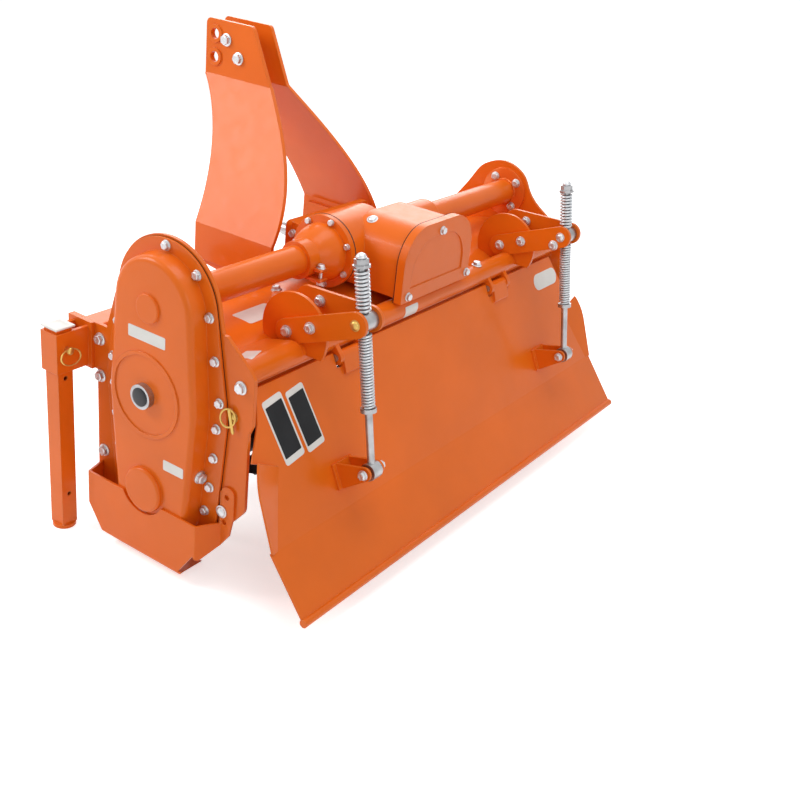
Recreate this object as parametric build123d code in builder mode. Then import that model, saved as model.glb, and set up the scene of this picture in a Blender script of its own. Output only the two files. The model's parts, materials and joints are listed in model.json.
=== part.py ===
"""Rotary tiller for a three-point hitch, modelled in millimetres with +Z up.

The machine travels along +Y and its rotor lies across it, along X. Sizes are given from the machine's own
datum: the middle of its width, the rotor's axis and the ground. The frame's origin is on the ground under the
middle of the whole machine's box, so the datum stands at (mid_x, axis_y, 0).
"""

import math
import os

from build123d import *

os.makedirs("parts", exist_ok=True)

# General clearances and plate
running_gap = 0.3
drop_gap = 0.5
moving_gap = 5.0
plate_t = 8.0

# Body of the machine: its inside width, the rotor's height, the hood about it and the tubes over the hood
half_inside = 654.0
axis_z = 182.0
hood_r = 310.0
tube_over_hood = 85.0
tube_z = axis_z + hood_r + tube_over_hood

# Rotor
tip_r = 170.0
shaft_r = 32.0
stub_r = 25.0
stub_depth = 7.0
disc_r = 72.0
disc_t = 8.0
disc_count = 6
disc_inset = 94.0
tines_per_disc = 6
tine_t = 8.0
tine_root_r = 48.0
tine_bend_at = 122.0
tine_bend_r = 38.0
tine_bend_angle = 80.0
tine_foot = 14.0
tine_reach = 60.0
tine_front_edge = [(17.0, 48.0), (3.0, 112.0), (-24.0, 174.0)]
tine_rear_edge = [(-17.0, 48.0), (-30.0, 108.0), (-62.0, 168.0)]
rotor_end_gap = 4.0

# Gear case on the left end
case_top_y = -14.0
case_over_tube = 7.0
case_top_z = tube_z + case_over_tube
case_top_r = 131.0
case_mid_z = 385.0
case_mid_r = 166.0
case_low_half = 76.0
case_low_z = 140.0
case_low_r = 70.0
gasket_t = 2.0
flange_t = 5.0
cover_margin_top = 26.0
cover_margin_low = 45.0
cover_depth = 40.0
cover_slope = 4.0
cover_round = 12.0
hub_z = 397.0
hub_ring_r = 88.0
hub_ring_w = 8.0
hub_ring_h = 2.5
bulge_r = 50.0
bulge_h = 10.0
bulge_round = 6.0
boss_y = -8.0
boss_over_tube = 6.0
boss_z = tube_z + boss_over_tube
boss_r = 30.0
boss_h = 5.0
boss_round = 3.0
plug_r = 26.0
plug_eye_r = 16.0
plug_t = 14.0

# Side plates
plate_rear_y = -230.0
plate_front_y = 190.0
plate_low_z = 66.0
plate_corner_r = 60.0
plate_heel_r = 30.0
plate_heel_z = 215.0
plate_sole_rear_y = -100.0
plate_front_z = 372.0
plate_margin = 4.0
plate_ear = [(-100.0, 572.0), (-166.0, 563.0), (-226.0, 514.0), (-240.0, 498.0), (-240.0, 400.0), (-230.0, 380.0),
             (-230.0, 215.0), (-100.0, 215.0)]
fin_top = [(190.0, -85.0), (145.0, -34.0), (108.0, 20.0), (84.0, 54.0), (54.0, 73.0), (12.0, 83.0), (-28.0, 73.0),
           (-58.0, 51.0), (-76.0, 20.0), (-107.0, -14.0), (-148.0, -41.0), (-190.0, -77.0)]
shoulder_drop = 90.0
ear_front_y = 268.0
ear_low_z = 372.0
ear_high_z = 476.0
bearing_r = 66.0
bearing_t = 34.0
bearing_cap_r = 44.0
bearing_cap_t = 10.0

# Cross tubes and gearbox
tube_r = 33.5
bell_r = 84.0
bell_t = 14.0
bell_run = 60.0
bell_bulge = 0.74
bell_mouth_r = 67.0
bell_collar_r = 43.0
bell_collar_len = 34.0
stub_collar_r = 48.0
stub_collar_len = 106.0
barrel_left = 158.0
barrel_right = 140.0
barrel_r = 82.0
barrel_step_x = -14.0
barrel_small_r = 54.0
box_x = 8.0
box_half = 132.0
box_rear_y = -178.0
box_front_y = -36.0
box_over_rail = 9.5
box_rise = 83.0
box_corner_r = 84.0
cover_gasket_t = 2.0
cover_plate_t = 20.0
cover_plate_edge = 8.0
cover_panel_inset = 32.0
cover_panel_t = 3.0
block_left = 148.0
block_right = 96.0
block_front_y = 112.0
block_drop = 72.0
block_rise = 35.0
front_plate_half = 150.0
front_plate_t = 16.0
front_plate_round = 12.0
input_drop = 47.0
nose_r = 34.0
nose_front_y = 176.0
nose_flange_r = 50.0
nose_flange_t = 16.0
journal_r = 14.5
pto_neck = 4.0
pto_r = 17.45
pto_len = 76.0
spline_count = 6
spline_w = 4.0
spline_depth = 2.4

# Hood over the rotor, with the beam in front of it and the rail behind it
hood_t = 4.0
hood_front_y = 186.0
apron_drop = 84.0
beam_size = 60.0
beam_wall = 6.0
beam_round = 6.0
beam_y = 236.0
beam_z = 430.0
rail_r = 26.0
rail_over_hood = 23.4
rail_turn = math.radians(30.26)
rail_y = -(hood_r + rail_over_hood) * math.sin(rail_turn)
rail_z = axis_z + (hood_r + rail_over_hood) * math.cos(rail_turn)

# Mast and hitch
mast_t = 10.0
mast_half_top = 26.0
mast_half_foot = 200.0
mast_top_z = 1000.0
mast_head = 132.0
mast_bend_low_z = 558.0
mast_foot_z = 472.0
mast_front_y = 504.0
mast_front_edge = [(504.0, 1.0), (445.0, 0.79), (382.0, 0.39), (358.0, 0.0)]
mast_rear_edge = [(118.0, 0.0), (145.0, 0.39), (203.0, 0.68), (298.0, 1.02)]
mast_rear_top_y = 357.0
mast_corner_r = 14.0
foot_front_y = 358.0
foot_rear_y = 118.0
foot_inset = 20.0
foot_drop = 14.0
link_y = 473.0
link_high_drop = 34.0
link_low_drop = 88.0
link_high_z = mast_top_z - link_high_drop
link_low_z = mast_top_z - link_low_drop
link_r = 12.85
link_boss_r = 21.0
link_boss_t = 4.0
spacer_r = 12.0
spacer_1 = (437.0, 43.0)
spacer_2 = (397.0, 80.0)
hitch_half = 341.5
hitch_gap = 60.0
hitch_t = 10.0
hitch_y = 356.0
hitch_z = 446.0
hitch_r = 11.25
hitch_boss_r = 36.0
hitch_root = 84.0
hitch_root_t = 2.0

# Tail board and its hinge
hinge_back = 29.0
hinge_drop = 33.5
hinge_y = rail_y - hinge_back
hinge_z = rail_z - hinge_drop
hinge_pin_r = 8.0
hinge_pin_end = 4.0
knuckle_r = 13.0
knuckle_len = 64.0
knuckle_inset = 341.0
knuckle_x = half_inside - knuckle_inset
hinge_lug_t = 12.0
hinge_lug_r = 16.0
hinge_tab = 36.0
hinge_tab_r = 4.0
board_t = 4.0
board_rise = 12.0
board_bend_y = -327.0
board_bend_z = 166.0
board_edge_y = -419.0
board_edge_z = 48.5
board_end_gap = 51.0
board_overhang = 38.0
board_shoulder = (-25.0, 385.0)
wing_edge = [(17.0, 328.0), (32.0, 298.0), (38.0, 250.0)]
wing_root_top = (-47.0, 302.0)
wing_root_low = (19.0, 166.0)
wing_turn = 14.0
hem_r = 9.0

# Spring rods that hold the tail board
rod_inset = 224.0
rod_x = half_inside - rod_inset
eye_y = -366.0
eye_z = 263.0
pivot_back = 144.0
pivot_rise = 107.0
pivot_y = rail_y - pivot_back
pivot_z = rail_z + pivot_rise
rod_r = 8.0
high_spring_len = 89.4
eye_slack = 4.0
eye_wall = 7.0
eye_half = 14.0
collar_at = 130.0
collar_r = 17.0
collar_t = 9.0
nut_r = 15.0
nut_t = 15.0
washer_r = 18.0
washer_t = 5.0
trunnion_r = 20.0
trunnion_half = 22.0
trunnion_pin_r = 9.0
spring_wire = 4.5
low_spring_r = 14.5
high_spring_r = 16.5
nut_run_out = 3.0
lug_half = 19.0
lug_t = 6.0
lug_base_t = 6.0
lug_base_half_x = 34.0
lug_base_half_u = 28.0
lug_tip_r = 15.0
lug_pin_end = 4.0

# Brackets on the hood and the arms that carry the rods
arm_t = 8.0
arm_r = 27.0
arm_root = (26.0, 39.0)
arm_crown = (18.0, 101.0)
fan_place = (11.0, 41.0)
fan_r = 84.0
wrap_share = 0.31
wrap_t = 4.0
wrap_len = 186.0
wrap_drop = 6.0

# Skids: guard face, scoop for the case's bulge, strap with its holes, and sole
skid_out = 60.0
skid_t = 5.0
skid_low_z = 26.0
skid_face = [(-147.0, 157.0), (163.0, 157.0), (167.0, 84.0), (126.0, 26.0), (-101.0, 26.0), (-142.0, 84.0)]
skid_strap = [(-206.0, 246.0), (-172.0, 246.0), (-172.0, 157.0), (-145.0, 157.0), (-140.0, 84.0),
              (-152.0, 75.0), (-196.0, 135.0), (-206.0, 185.0)]
skid_nose = [(160.0, 157.0), (182.0, 157.0), (182.0, 84.0), (160.0, 84.0)]
skid_bend_rear_y = -147.0
skid_bend_front_y = 164.0
skid_strap_end_y = -206.0
skid_strap_bend_y = -172.0
skid_nose_y = 178.0
skid_strap_round = 15.0
skid_holes = [(-187.0, 223.0), (-182.0, 163.0)]
skid_hole_r = 6.0
scoop_y = 4.0
scoop_z = 186.0
scoop_r = 62.0
sole_rear_y = -85.0
sole_front_y = 100.0
sole_out = 36.0
sole_in = 26.0

# Parking stand
leg_size = 38.0
leg_wall = 4.0
leg_out = 72.0
leg_y = 233.0
leg_top_z = 474.0
leg_cap_t = 4.0
leg_hole_r = 5.0
leg_holes = [362.0, 84.0]
leg_foot_r = 25.0
leg_foot_t = 8.0
sleeve_wall = 5.0
sleeve_low_z = 378.0
sleeve_high_z = 466.0
sleeve_gap = 0.3
stand_plate_t = 8.0
stand_pin_r = 6.0
stand_pin_z = 430.0
stand_pin_end = 12.0

# Worked out from the sizes above
shoulder_z = tube_z + fin_top[0][1]
box_low_z = rail_z + rail_r + box_over_rail
box_top_z = tube_z + box_rise
input_z = tube_z - input_drop
mast_bend_top_z = mast_top_z - mast_head
leg_x = half_inside + leg_out
skid_x = half_inside + skid_out
board_half_top = half_inside - board_end_gap
board_half_low = half_inside + board_overhang
disc_pitch = 2 * (half_inside - disc_inset) / (disc_count - 1)
sleeve_out = leg_size + 2 * (sleeve_gap + sleeve_wall)
left_reach = leg_x + sleeve_out / 2
right_reach = skid_x
front_reach = mast_front_y
rear_reach = hem_r - board_edge_y
mid_x = (left_reach - right_reach) / 2
axis_y = (rear_reach - front_reach) / 2
case_face = half_inside + plate_t + gasket_t + flange_t
cover_face = case_face + cover_depth


def station(x):
    """Upright plane across the machine at x: sketch x runs forward and sketch y runs up."""
    return Plane(origin=(mid_x + x, axis_y, 0), x_dir=(0, 1, 0), z_dir=(1, 0, 0))


def facing_rear(y):
    """Upright plane along the machine at y: sketch x runs to the right and sketch y runs up."""
    return Plane(origin=(mid_x, axis_y + y, 0), x_dir=(1, 0, 0), z_dir=(0, -1, 0))


def level(z):
    """Flat plane at height z, with its origin on the machine's datum."""
    return Plane(origin=(mid_x, axis_y, z))


def cross_axis(y, z):
    """Axis across the machine at y and z."""
    return Axis((mid_x, axis_y + y, z), (1, 0, 0))


def save(piece, label):
    """Label a finished piece and write it."""
    piece.label = label
    export_step(piece, f"parts/{label}.step")


def case_outline(margin_top, margin_low):
    """Outline of the gear case, set in by the margins."""
    with Locations((case_top_y, case_top_z)):
        Circle(case_top_r - margin_top)
    with Locations((case_top_y, case_mid_z)):
        Circle(case_mid_r - margin_low)
    with Locations((case_top_y - case_low_half, case_low_z), (case_top_y + case_low_half, case_low_z)):
        Circle(case_low_r - margin_low)
    make_hull()


def box_outline(edge):
    """Outline of the change-gear box, made larger by an edge."""
    low = box_low_z - edge
    high = box_top_z + edge
    with Locations((box_x, (low + high) / 2)):
        outline = Rectangle(2 * (box_half + edge), high - low)
    fillet(outline.vertices().group_by(Axis.Y)[-1], box_corner_r)


# Left side plate, the back wall of the gear case
with BuildPart() as left_side_plate:
    with BuildSketch(station(-half_inside - plate_t)):
        with Locations((case_top_y, case_top_z)):
            Circle(case_top_r + plate_margin)
        with Locations((case_top_y, case_mid_z)):
            Circle(case_mid_r + plate_margin)
        with Locations(
            (plate_front_y - plate_corner_r, plate_front_z),
            (plate_front_y - plate_corner_r, plate_low_z + plate_corner_r),
        ):
            Circle(plate_corner_r)
        with Locations(
            (plate_rear_y + plate_heel_r, plate_heel_z),
            (plate_sole_rear_y, plate_low_z + plate_heel_r),
        ):
            Circle(plate_heel_r)
        make_hull()
        with BuildLine():
            Polyline(*plate_ear, plate_ear[0])
        make_face()
        with Locations(((case_top_y + ear_front_y) / 2, (ear_low_z + ear_high_z) / 2)):
            Rectangle(ear_front_y - case_top_y, ear_high_z - ear_low_z)
        with Locations((0, axis_z)):
            Circle(stub_r + running_gap, mode=Mode.SUBTRACT)
    extrude(amount=plate_t)
save(left_side_plate.part, "left_side_plate")

with BuildPart() as gear_case_gasket:
    with BuildSketch(station(-half_inside - plate_t - gasket_t)):
        case_outline(0, 0)
    extrude(amount=gasket_t)
save(gear_case_gasket.part, "gear_case_gasket")

# Cover of the gear case, with a bearing boss, a stamped ring about the hub and the bulge over the rotor's end
with BuildPart() as gear_case_cover:
    with BuildSketch(station(-case_face)):
        case_outline(0, 0)
    extrude(amount=flange_t)
    with BuildSketch(station(-case_face)):
        case_outline(cover_margin_top, cover_margin_low)
    with BuildSketch(station(-cover_face)):
        case_outline(cover_margin_top + cover_slope, cover_margin_low + cover_slope)
    loft()
    fillet(gear_case_cover.faces().sort_by(Axis.X)[0].edges(), cover_round)
    with BuildSketch(station(-cover_face)):
        with Locations((boss_y, boss_z)):
            Circle(boss_r)
    extrude(amount=-boss_h)
    fillet(gear_case_cover.faces().sort_by(Axis.X)[0].edges(), boss_round)
    with BuildSketch(station(-cover_face)):
        with Locations((0, axis_z)):
            Circle(bulge_r)
    extrude(amount=-bulge_h)
    fillet(gear_case_cover.faces().sort_by(Axis.X)[0].edges(), bulge_round)
    with BuildSketch(station(-cover_face)):
        with Locations((0, hub_z)):
            Circle(hub_ring_r + hub_ring_w / 2)
            Circle(hub_ring_r - hub_ring_w / 2, mode=Mode.SUBTRACT)
    extrude(amount=-hub_ring_h)
save(gear_case_cover.part, "gear_case_cover")

with BuildPart() as gear_case_plug:
    with BuildSketch(station(-cover_face)):
        with Locations((0, hub_z)):
            Circle(plug_r)
    extrude(amount=-plug_t)
    with BuildSketch(station(-cover_face - plug_t)):
        with Locations((0, hub_z)):
            Circle(plug_eye_r)
    extrude(amount=plug_t / 2, mode=Mode.SUBTRACT)
save(gear_case_plug.part, "gear_case_plug")

# Right side plate, with a round fin about the cross tube
with BuildPart() as right_side_plate:
    with BuildSketch(station(half_inside)):
        with BuildLine():
            low_rear = (plate_rear_y + plate_corner_r, plate_low_z)
            low_front = (plate_front_y - plate_corner_r, plate_low_z)
            Line(low_rear, low_front)
            RadiusArc(low_front, (plate_front_y, plate_low_z + plate_corner_r), -plate_corner_r)
            Line((plate_front_y, plate_low_z + plate_corner_r), (plate_front_y, ear_low_z))
            Polyline(
                (plate_front_y, ear_low_z),
                (ear_front_y, ear_low_z),
                (ear_front_y, ear_high_z),
                (plate_front_y, shoulder_z),
            )
            fin = Spline(*[(y, tube_z + rise) for y, rise in fin_top])
            Polyline(
                fin @ 1,
                (plate_rear_y, shoulder_z - shoulder_drop),
                (plate_rear_y, plate_low_z + plate_corner_r),
            )
            RadiusArc((plate_rear_y, plate_low_z + plate_corner_r), low_rear, -plate_corner_r)
        make_face()
        with Locations((0, axis_z)):
            Circle(stub_r + running_gap, mode=Mode.SUBTRACT)
    extrude(amount=plate_t)
save(right_side_plate.part, "right_side_plate")

with BuildPart() as right_bearing:
    with BuildSketch(station(half_inside + plate_t)):
        with Locations((0, axis_z)):
            Circle(bearing_r)
    extrude(amount=bearing_t)
    with BuildSketch(station(half_inside + plate_t + bearing_t)):
        with Locations((0, axis_z)):
            Circle(bearing_cap_r)
    extrude(amount=bearing_cap_t)
save(right_bearing.part, "right_bearing")

# Left cross tube, with the bell that bolts to the gearbox
bell_end = -barrel_left - bell_t
bell_throat = bell_end - bell_run
collar_end = bell_throat - bell_collar_len
bell_mid_r = bell_collar_r + (bell_mouth_r - bell_collar_r) * bell_bulge
with BuildPart() as left_tube:
    with BuildSketch(facing_rear(0)):
        with BuildLine():
            Polyline(
                (-barrel_left, tube_z),
                (-half_inside, tube_z),
                (-half_inside, tube_z + tube_r),
                (collar_end, tube_z + tube_r),
                (collar_end, tube_z + bell_collar_r),
                (bell_throat, tube_z + bell_collar_r),
            )
            ThreePointArc(
                (bell_throat, tube_z + bell_collar_r),
                ((bell_throat + bell_end) / 2, tube_z + bell_mid_r),
                (bell_end, tube_z + bell_mouth_r),
            )
            Polyline(
                (bell_end, tube_z + bell_mouth_r),
                (bell_end, tube_z + bell_r),
                (-barrel_left, tube_z + bell_r),
                (-barrel_left, tube_z),
            )
        make_face()
    revolve(axis=cross_axis(0, tube_z))
save(left_tube.part, "left_tube")

# Right cross tube, in a plain collar on the gearbox
with BuildPart() as right_tube:
    with BuildSketch(station(barrel_right)):
        with Locations((0, tube_z)):
            Circle(tube_r)
    extrude(amount=half_inside - barrel_right)
    with BuildSketch(station(barrel_right)):
        with Locations((0, tube_z)):
            Circle(stub_collar_r)
    extrude(amount=stub_collar_len)
save(right_tube.part, "right_tube")

# Gearbox: a stepped barrel across, the change-gear box behind, a block with its front plate, and the input's nose
with BuildPart() as gearbox_housing:
    with BuildSketch(station(-barrel_left)):
        with Locations((0, tube_z)):
            Circle(barrel_r)
    extrude(amount=barrel_left + barrel_step_x)
    with BuildSketch(station(barrel_step_x)):
        with Locations((0, tube_z)):
            Circle(barrel_small_r)
    extrude(amount=barrel_right - barrel_step_x)
    with BuildSketch(facing_rear(box_front_y)):
        box_outline(0)
    extrude(amount=box_front_y - box_rear_y)
    with BuildSketch(level(tube_z - block_drop)):
        with Locations(((block_right - block_left) / 2, block_front_y / 2)):
            Rectangle(block_left + block_right, block_front_y)
    extrude(amount=block_drop + block_rise)
    with BuildSketch(facing_rear(block_front_y + front_plate_t)) as front_plate:
        with Locations((0, tube_z + (block_rise - block_drop) / 2)):
            Rectangle(2 * front_plate_half, block_rise + block_drop)
        fillet(front_plate.vertices(), front_plate_round)
    extrude(amount=front_plate_t)
    with BuildSketch(facing_rear(nose_front_y)):
        with Locations((0, input_z)):
            Circle(nose_r)
    extrude(amount=nose_front_y - block_front_y)
    with BuildSketch(facing_rear(nose_front_y)):
        with Locations((0, input_z)):
            Circle(nose_flange_r)
    extrude(amount=nose_flange_t)
    with BuildSketch(facing_rear(nose_front_y)):
        with Locations((0, input_z)):
            Circle(journal_r + running_gap)
    extrude(amount=nose_flange_t, mode=Mode.SUBTRACT)
save(gearbox_housing.part, "gearbox_housing")

with BuildPart() as gearbox_gasket:
    with BuildSketch(facing_rear(box_rear_y)):
        box_outline(cover_plate_edge)
    extrude(amount=cover_gasket_t)
save(gearbox_gasket.part, "gearbox_gasket")

with BuildPart() as gearbox_rear_cover:
    with BuildSketch(facing_rear(box_rear_y - cover_gasket_t)):
        box_outline(cover_plate_edge)
    extrude(amount=cover_plate_t)
    with BuildSketch(facing_rear(box_rear_y - cover_gasket_t - cover_plate_t)):
        box_outline(cover_plate_edge - cover_panel_inset)
    extrude(amount=-cover_panel_t, mode=Mode.SUBTRACT)
save(gearbox_rear_cover.part, "gearbox_rear_cover")

# Splined input shaft, on a thinner journal
with BuildPart() as pto_shaft:
    with BuildSketch(facing_rear(nose_front_y - nose_flange_t)):
        with Locations((0, input_z)):
            Circle(journal_r)
    extrude(amount=-nose_flange_t - pto_neck)
    with BuildSketch(facing_rear(nose_front_y + pto_neck)):
        with Locations((0, input_z)):
            Circle(pto_r)
            with PolarLocations(pto_r, spline_count):
                Rectangle(2 * spline_depth, spline_w, mode=Mode.SUBTRACT)
    extrude(amount=-pto_len)
save(pto_shaft.part, "pto_shaft")

# Hood, beam and rail
hood_front_z = axis_z + math.sqrt(hood_r**2 - hood_front_y**2)
hood_rear_z = axis_z + math.sqrt(hood_r**2 - rail_y**2)
hood_in = hood_r - hood_t
with BuildPart() as hood:
    with BuildSketch(station(-half_inside)):
        with BuildLine():
            front_out = (hood_front_y, hood_front_z)
            rear_out = (rail_y, hood_rear_z)
            front_in = (hood_front_y - hood_t, axis_z + math.sqrt(hood_in**2 - (hood_front_y - hood_t) ** 2))
            rear_in = (rail_y, axis_z + math.sqrt(hood_in**2 - rail_y**2))
            ThreePointArc(rear_out, (0, axis_z + hood_r), front_out)
            Polyline(
                front_out,
                (hood_front_y, hood_front_z - apron_drop),
                (hood_front_y - hood_t, hood_front_z - apron_drop),
                front_in,
            )
            ThreePointArc(front_in, (0, axis_z + hood_in), rear_in)
            Line(rear_in, rear_out)
        make_face()
    extrude(amount=2 * half_inside)
    with BuildSketch(station(-half_inside)):
        with Locations((rail_y, rail_z)):
            Circle(rail_r)
    extrude(amount=2 * half_inside, mode=Mode.SUBTRACT)
    wrap_y = -hood_r * wrap_share
    wrap_z = axis_z + math.sqrt((hood_r + wrap_t) ** 2 - wrap_y**2)
    for start in (-half_inside, half_inside - wrap_len):
        with BuildSketch(station(start)):
            with Locations((rail_y, rail_z)):
                Circle(rail_r + wrap_t)
            with Locations((wrap_y, wrap_z - wrap_t)):
                Circle(wrap_t)
            make_hull()
            with Locations((rail_y, rail_z)):
                Circle(rail_r, mode=Mode.SUBTRACT)
            with Locations((0, axis_z)):
                Circle(hood_r, mode=Mode.SUBTRACT)
            with Locations((rail_y, rail_z - wrap_drop - rail_r)):
                Rectangle(2 * hood_r, 2 * rail_r, mode=Mode.SUBTRACT)
        extrude(amount=wrap_len)
save(hood.part, "hood")

with BuildPart() as front_beam:
    with BuildSketch(station(-half_inside)):
        with Locations((beam_y, beam_z)):
            RectangleRounded(beam_size, beam_size, beam_round)
            Rectangle(beam_size - 2 * beam_wall, beam_size - 2 * beam_wall, mode=Mode.SUBTRACT)
    extrude(amount=2 * half_inside)
save(front_beam.part, "front_beam")

lug_offset = knuckle_len / 2 + drop_gap
with BuildPart() as rear_rail:
    with BuildSketch(station(-half_inside)):
        with Locations((rail_y, rail_z)):
            Circle(rail_r)
    extrude(amount=2 * half_inside)
    for centre in (-knuckle_x, knuckle_x):
        for start in (centre - lug_offset - hinge_lug_t, centre + lug_offset):
            with BuildSketch(station(start)):
                with Locations((hinge_y, hinge_z)):
                    Circle(hinge_lug_r)
                with Locations((rail_y, rail_z)):
                    Circle(hinge_lug_r)
                make_hull()
                with Locations((hinge_y, hinge_z)):
                    Circle(hinge_pin_r, mode=Mode.SUBTRACT)
            extrude(amount=hinge_lug_t)
save(rear_rail.part, "rear_rail")

with BuildPart() as hinge_pins:
    pin_half = lug_offset + hinge_lug_t + hinge_pin_end
    for centre in (-knuckle_x, knuckle_x):
        with BuildSketch(station(centre - pin_half)):
            with Locations((hinge_y, hinge_z)):
                Circle(hinge_pin_r)
        extrude(amount=2 * pin_half)
save(hinge_pins.part, "hinge_pins")

# Mast: a bent plate on each side, cut to the outline seen from the side
mast_run = mast_bend_top_z - mast_bend_low_z
mast_front = [(y, mast_bend_low_z + share * mast_run) for y, share in mast_front_edge]
mast_rear = [(y, mast_bend_low_z + share * mast_run) for y, share in mast_rear_edge]
for side, name in ((-1, "mast_left"), (1, "mast_right")):
    with BuildPart() as mast:
        with BuildSketch(facing_rear(mast_front_y)):
            with BuildLine():
                bent = Polyline(
                    (side * mast_half_top, mast_top_z),
                    (side * mast_half_top, mast_bend_top_z),
                    (side * mast_half_foot, mast_bend_low_z),
                    (side * mast_half_foot, mast_foot_z),
                )
                outer_bent = Polyline(
                    (side * (mast_half_foot + mast_t), mast_foot_z),
                    (side * (mast_half_foot + mast_t), mast_bend_low_z + mast_t / 4),
                    (side * (mast_half_top + mast_t), mast_bend_top_z + mast_t / 4),
                    (side * (mast_half_top + mast_t), mast_top_z),
                )
                Line(bent @ 1, outer_bent @ 0)
                Line(outer_bent @ 1, bent @ 0)
            make_face()
        extrude(amount=mast_front_y - foot_rear_y)
        with BuildSketch(station(-half_inside)) as mast_side:
            with BuildLine():
                Line((mast_front_y, mast_top_z), mast_front[0])
                Spline(*mast_front)
                Polyline(mast_front[-1], (foot_front_y, mast_foot_z), (foot_rear_y, mast_foot_z), mast_rear[0])
                Spline(*mast_rear)
                Polyline(mast_rear[-1], (mast_rear_top_y, mast_top_z), (mast_front_y, mast_top_z))
            make_face()
            fillet(mast_side.vertices().group_by(Axis.Y)[-1], mast_corner_r)
        extrude(amount=2 * half_inside, mode=Mode.INTERSECT)
        with BuildSketch(station(side * (mast_half_top + mast_t))):
            with Locations((link_y, link_high_z), (link_y, link_low_z)):
                Circle(link_boss_r)
        extrude(amount=side * link_boss_t)
        with BuildSketch(station(side * (mast_half_top + mast_t + link_boss_t))):
            with Locations((link_y, link_high_z), (link_y, link_low_z)):
                Circle(link_r)
        extrude(amount=-side * (mast_t + link_boss_t), mode=Mode.SUBTRACT)
    save(mast.part, name)

with BuildPart() as mast_spacers:
    for spacer_y, spacer_drop in (spacer_1, spacer_2):
        with BuildSketch(station(-mast_half_top)):
            with Locations((spacer_y, mast_top_z - spacer_drop)):
                Circle(spacer_r)
        extrude(amount=2 * mast_half_top)
save(mast_spacers.part, "mast_spacers")

# Brackets on the beam and the hood that the mast's feet bolt to
for side, name in ((-1, "mast_bracket_left"), (1, "mast_bracket_right")):
    with BuildPart() as mast_bracket:
        start = mast_half_foot - mast_t if side > 0 else -mast_half_foot
        beam_top = beam_z + beam_size / 2
        with BuildSketch(station(start)):
            with BuildLine():
                Polyline(
                    (foot_rear_y, hood_front_z),
                    (foot_front_y - foot_inset, beam_top),
                    (foot_front_y - foot_inset, mast_bend_low_z - foot_drop),
                    (foot_rear_y + foot_inset, mast_bend_low_z - foot_drop),
                    (foot_rear_y, hood_front_z),
                )
            make_face()
            with Locations((beam_y, beam_z)):
                Rectangle(beam_size, beam_size, mode=Mode.SUBTRACT)
            with Locations((0, axis_z)):
                Circle(hood_r, mode=Mode.SUBTRACT)
        extrude(amount=mast_t)
    save(mast_bracket.part, name)

# Lower hitch: two plates on the beam with a bore through both
for side, name in ((-1, "hitch_left"), (1, "hitch_right")):
    with BuildPart() as hitch:
        for start in (side * hitch_half - hitch_gap / 2 - hitch_t, side * hitch_half + hitch_gap / 2):
            with BuildSketch(station(start)):
                with Locations((hitch_y, hitch_z)):
                    Circle(hitch_boss_r)
                with Locations((beam_y + beam_size / 2 + hitch_root_t / 2, beam_z)):
                    Rectangle(hitch_root_t, hitch_root)
                make_hull()
                with Locations((hitch_y, hitch_z)):
                    Circle(hitch_r, mode=Mode.SUBTRACT)
            extrude(amount=hitch_t)
    save(hitch.part, name)

# Tail board: one sheet with a bend, its shoulders clear of the side plates and its ends turned back as wings
fall = Vector(board_bend_y - hinge_y, board_bend_z - hinge_z).normalized()
board_back = Vector(fall.Y, -fall.X)
sheet_top = Vector(hinge_y, hinge_z) - fall * board_rise
notch_w = hinge_lug_t + moving_gap
board_points = [(sheet_top.X, sheet_top.Y), (board_bend_y, board_bend_z), (board_edge_y, board_edge_z)]
shoulder = (half_inside + board_shoulder[0], board_shoulder[1])
root_top = (half_inside + wing_root_top[0], wing_root_top[1])
root_low = (half_inside + wing_root_low[0], wing_root_low[1])
edge = [(half_inside + out, z) for out, z in wing_edge]


def on_board(side, place):
    """Point on the middle of the tail board's upper sheet, from its x and z on one side."""
    y = hinge_y + (place[1] - hinge_z) * fall.X / fall.Y
    return Vector(mid_x + side * place[0], axis_y + y, place[1])


with BuildSketch(facing_rear(0), mode=Mode.PRIVATE) as board_outline:
    with BuildLine():
        Polyline(
            (0, sheet_top.Y),
            (board_half_top, sheet_top.Y),
            shoulder,
            root_top,
            root_low,
            (board_half_low, board_bend_z),
            (board_half_low, 0),
            (0, 0),
            (0, sheet_top.Y),
        )
    make_face()
    mirror(about=Plane.YZ)
with BuildPart(mode=Mode.PRIVATE) as wings:
    with BuildSketch(station(-board_half_low)):
        with BuildLine():
            upper_line = Polyline(*board_points[:2])
            offset(upper_line, amount=board_t / 2, side=Side.BOTH)
        make_face()
    extrude(amount=2 * board_half_low)
    with BuildSketch(facing_rear(0)):
        with BuildLine():
            Spline(*edge)
            Polyline(edge[-1], (board_half_low, board_bend_z), root_low, root_top, edge[0])
        make_face()
        mirror(about=Plane.YZ)
    extrude(amount=rear_reach, mode=Mode.INTERSECT)
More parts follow.
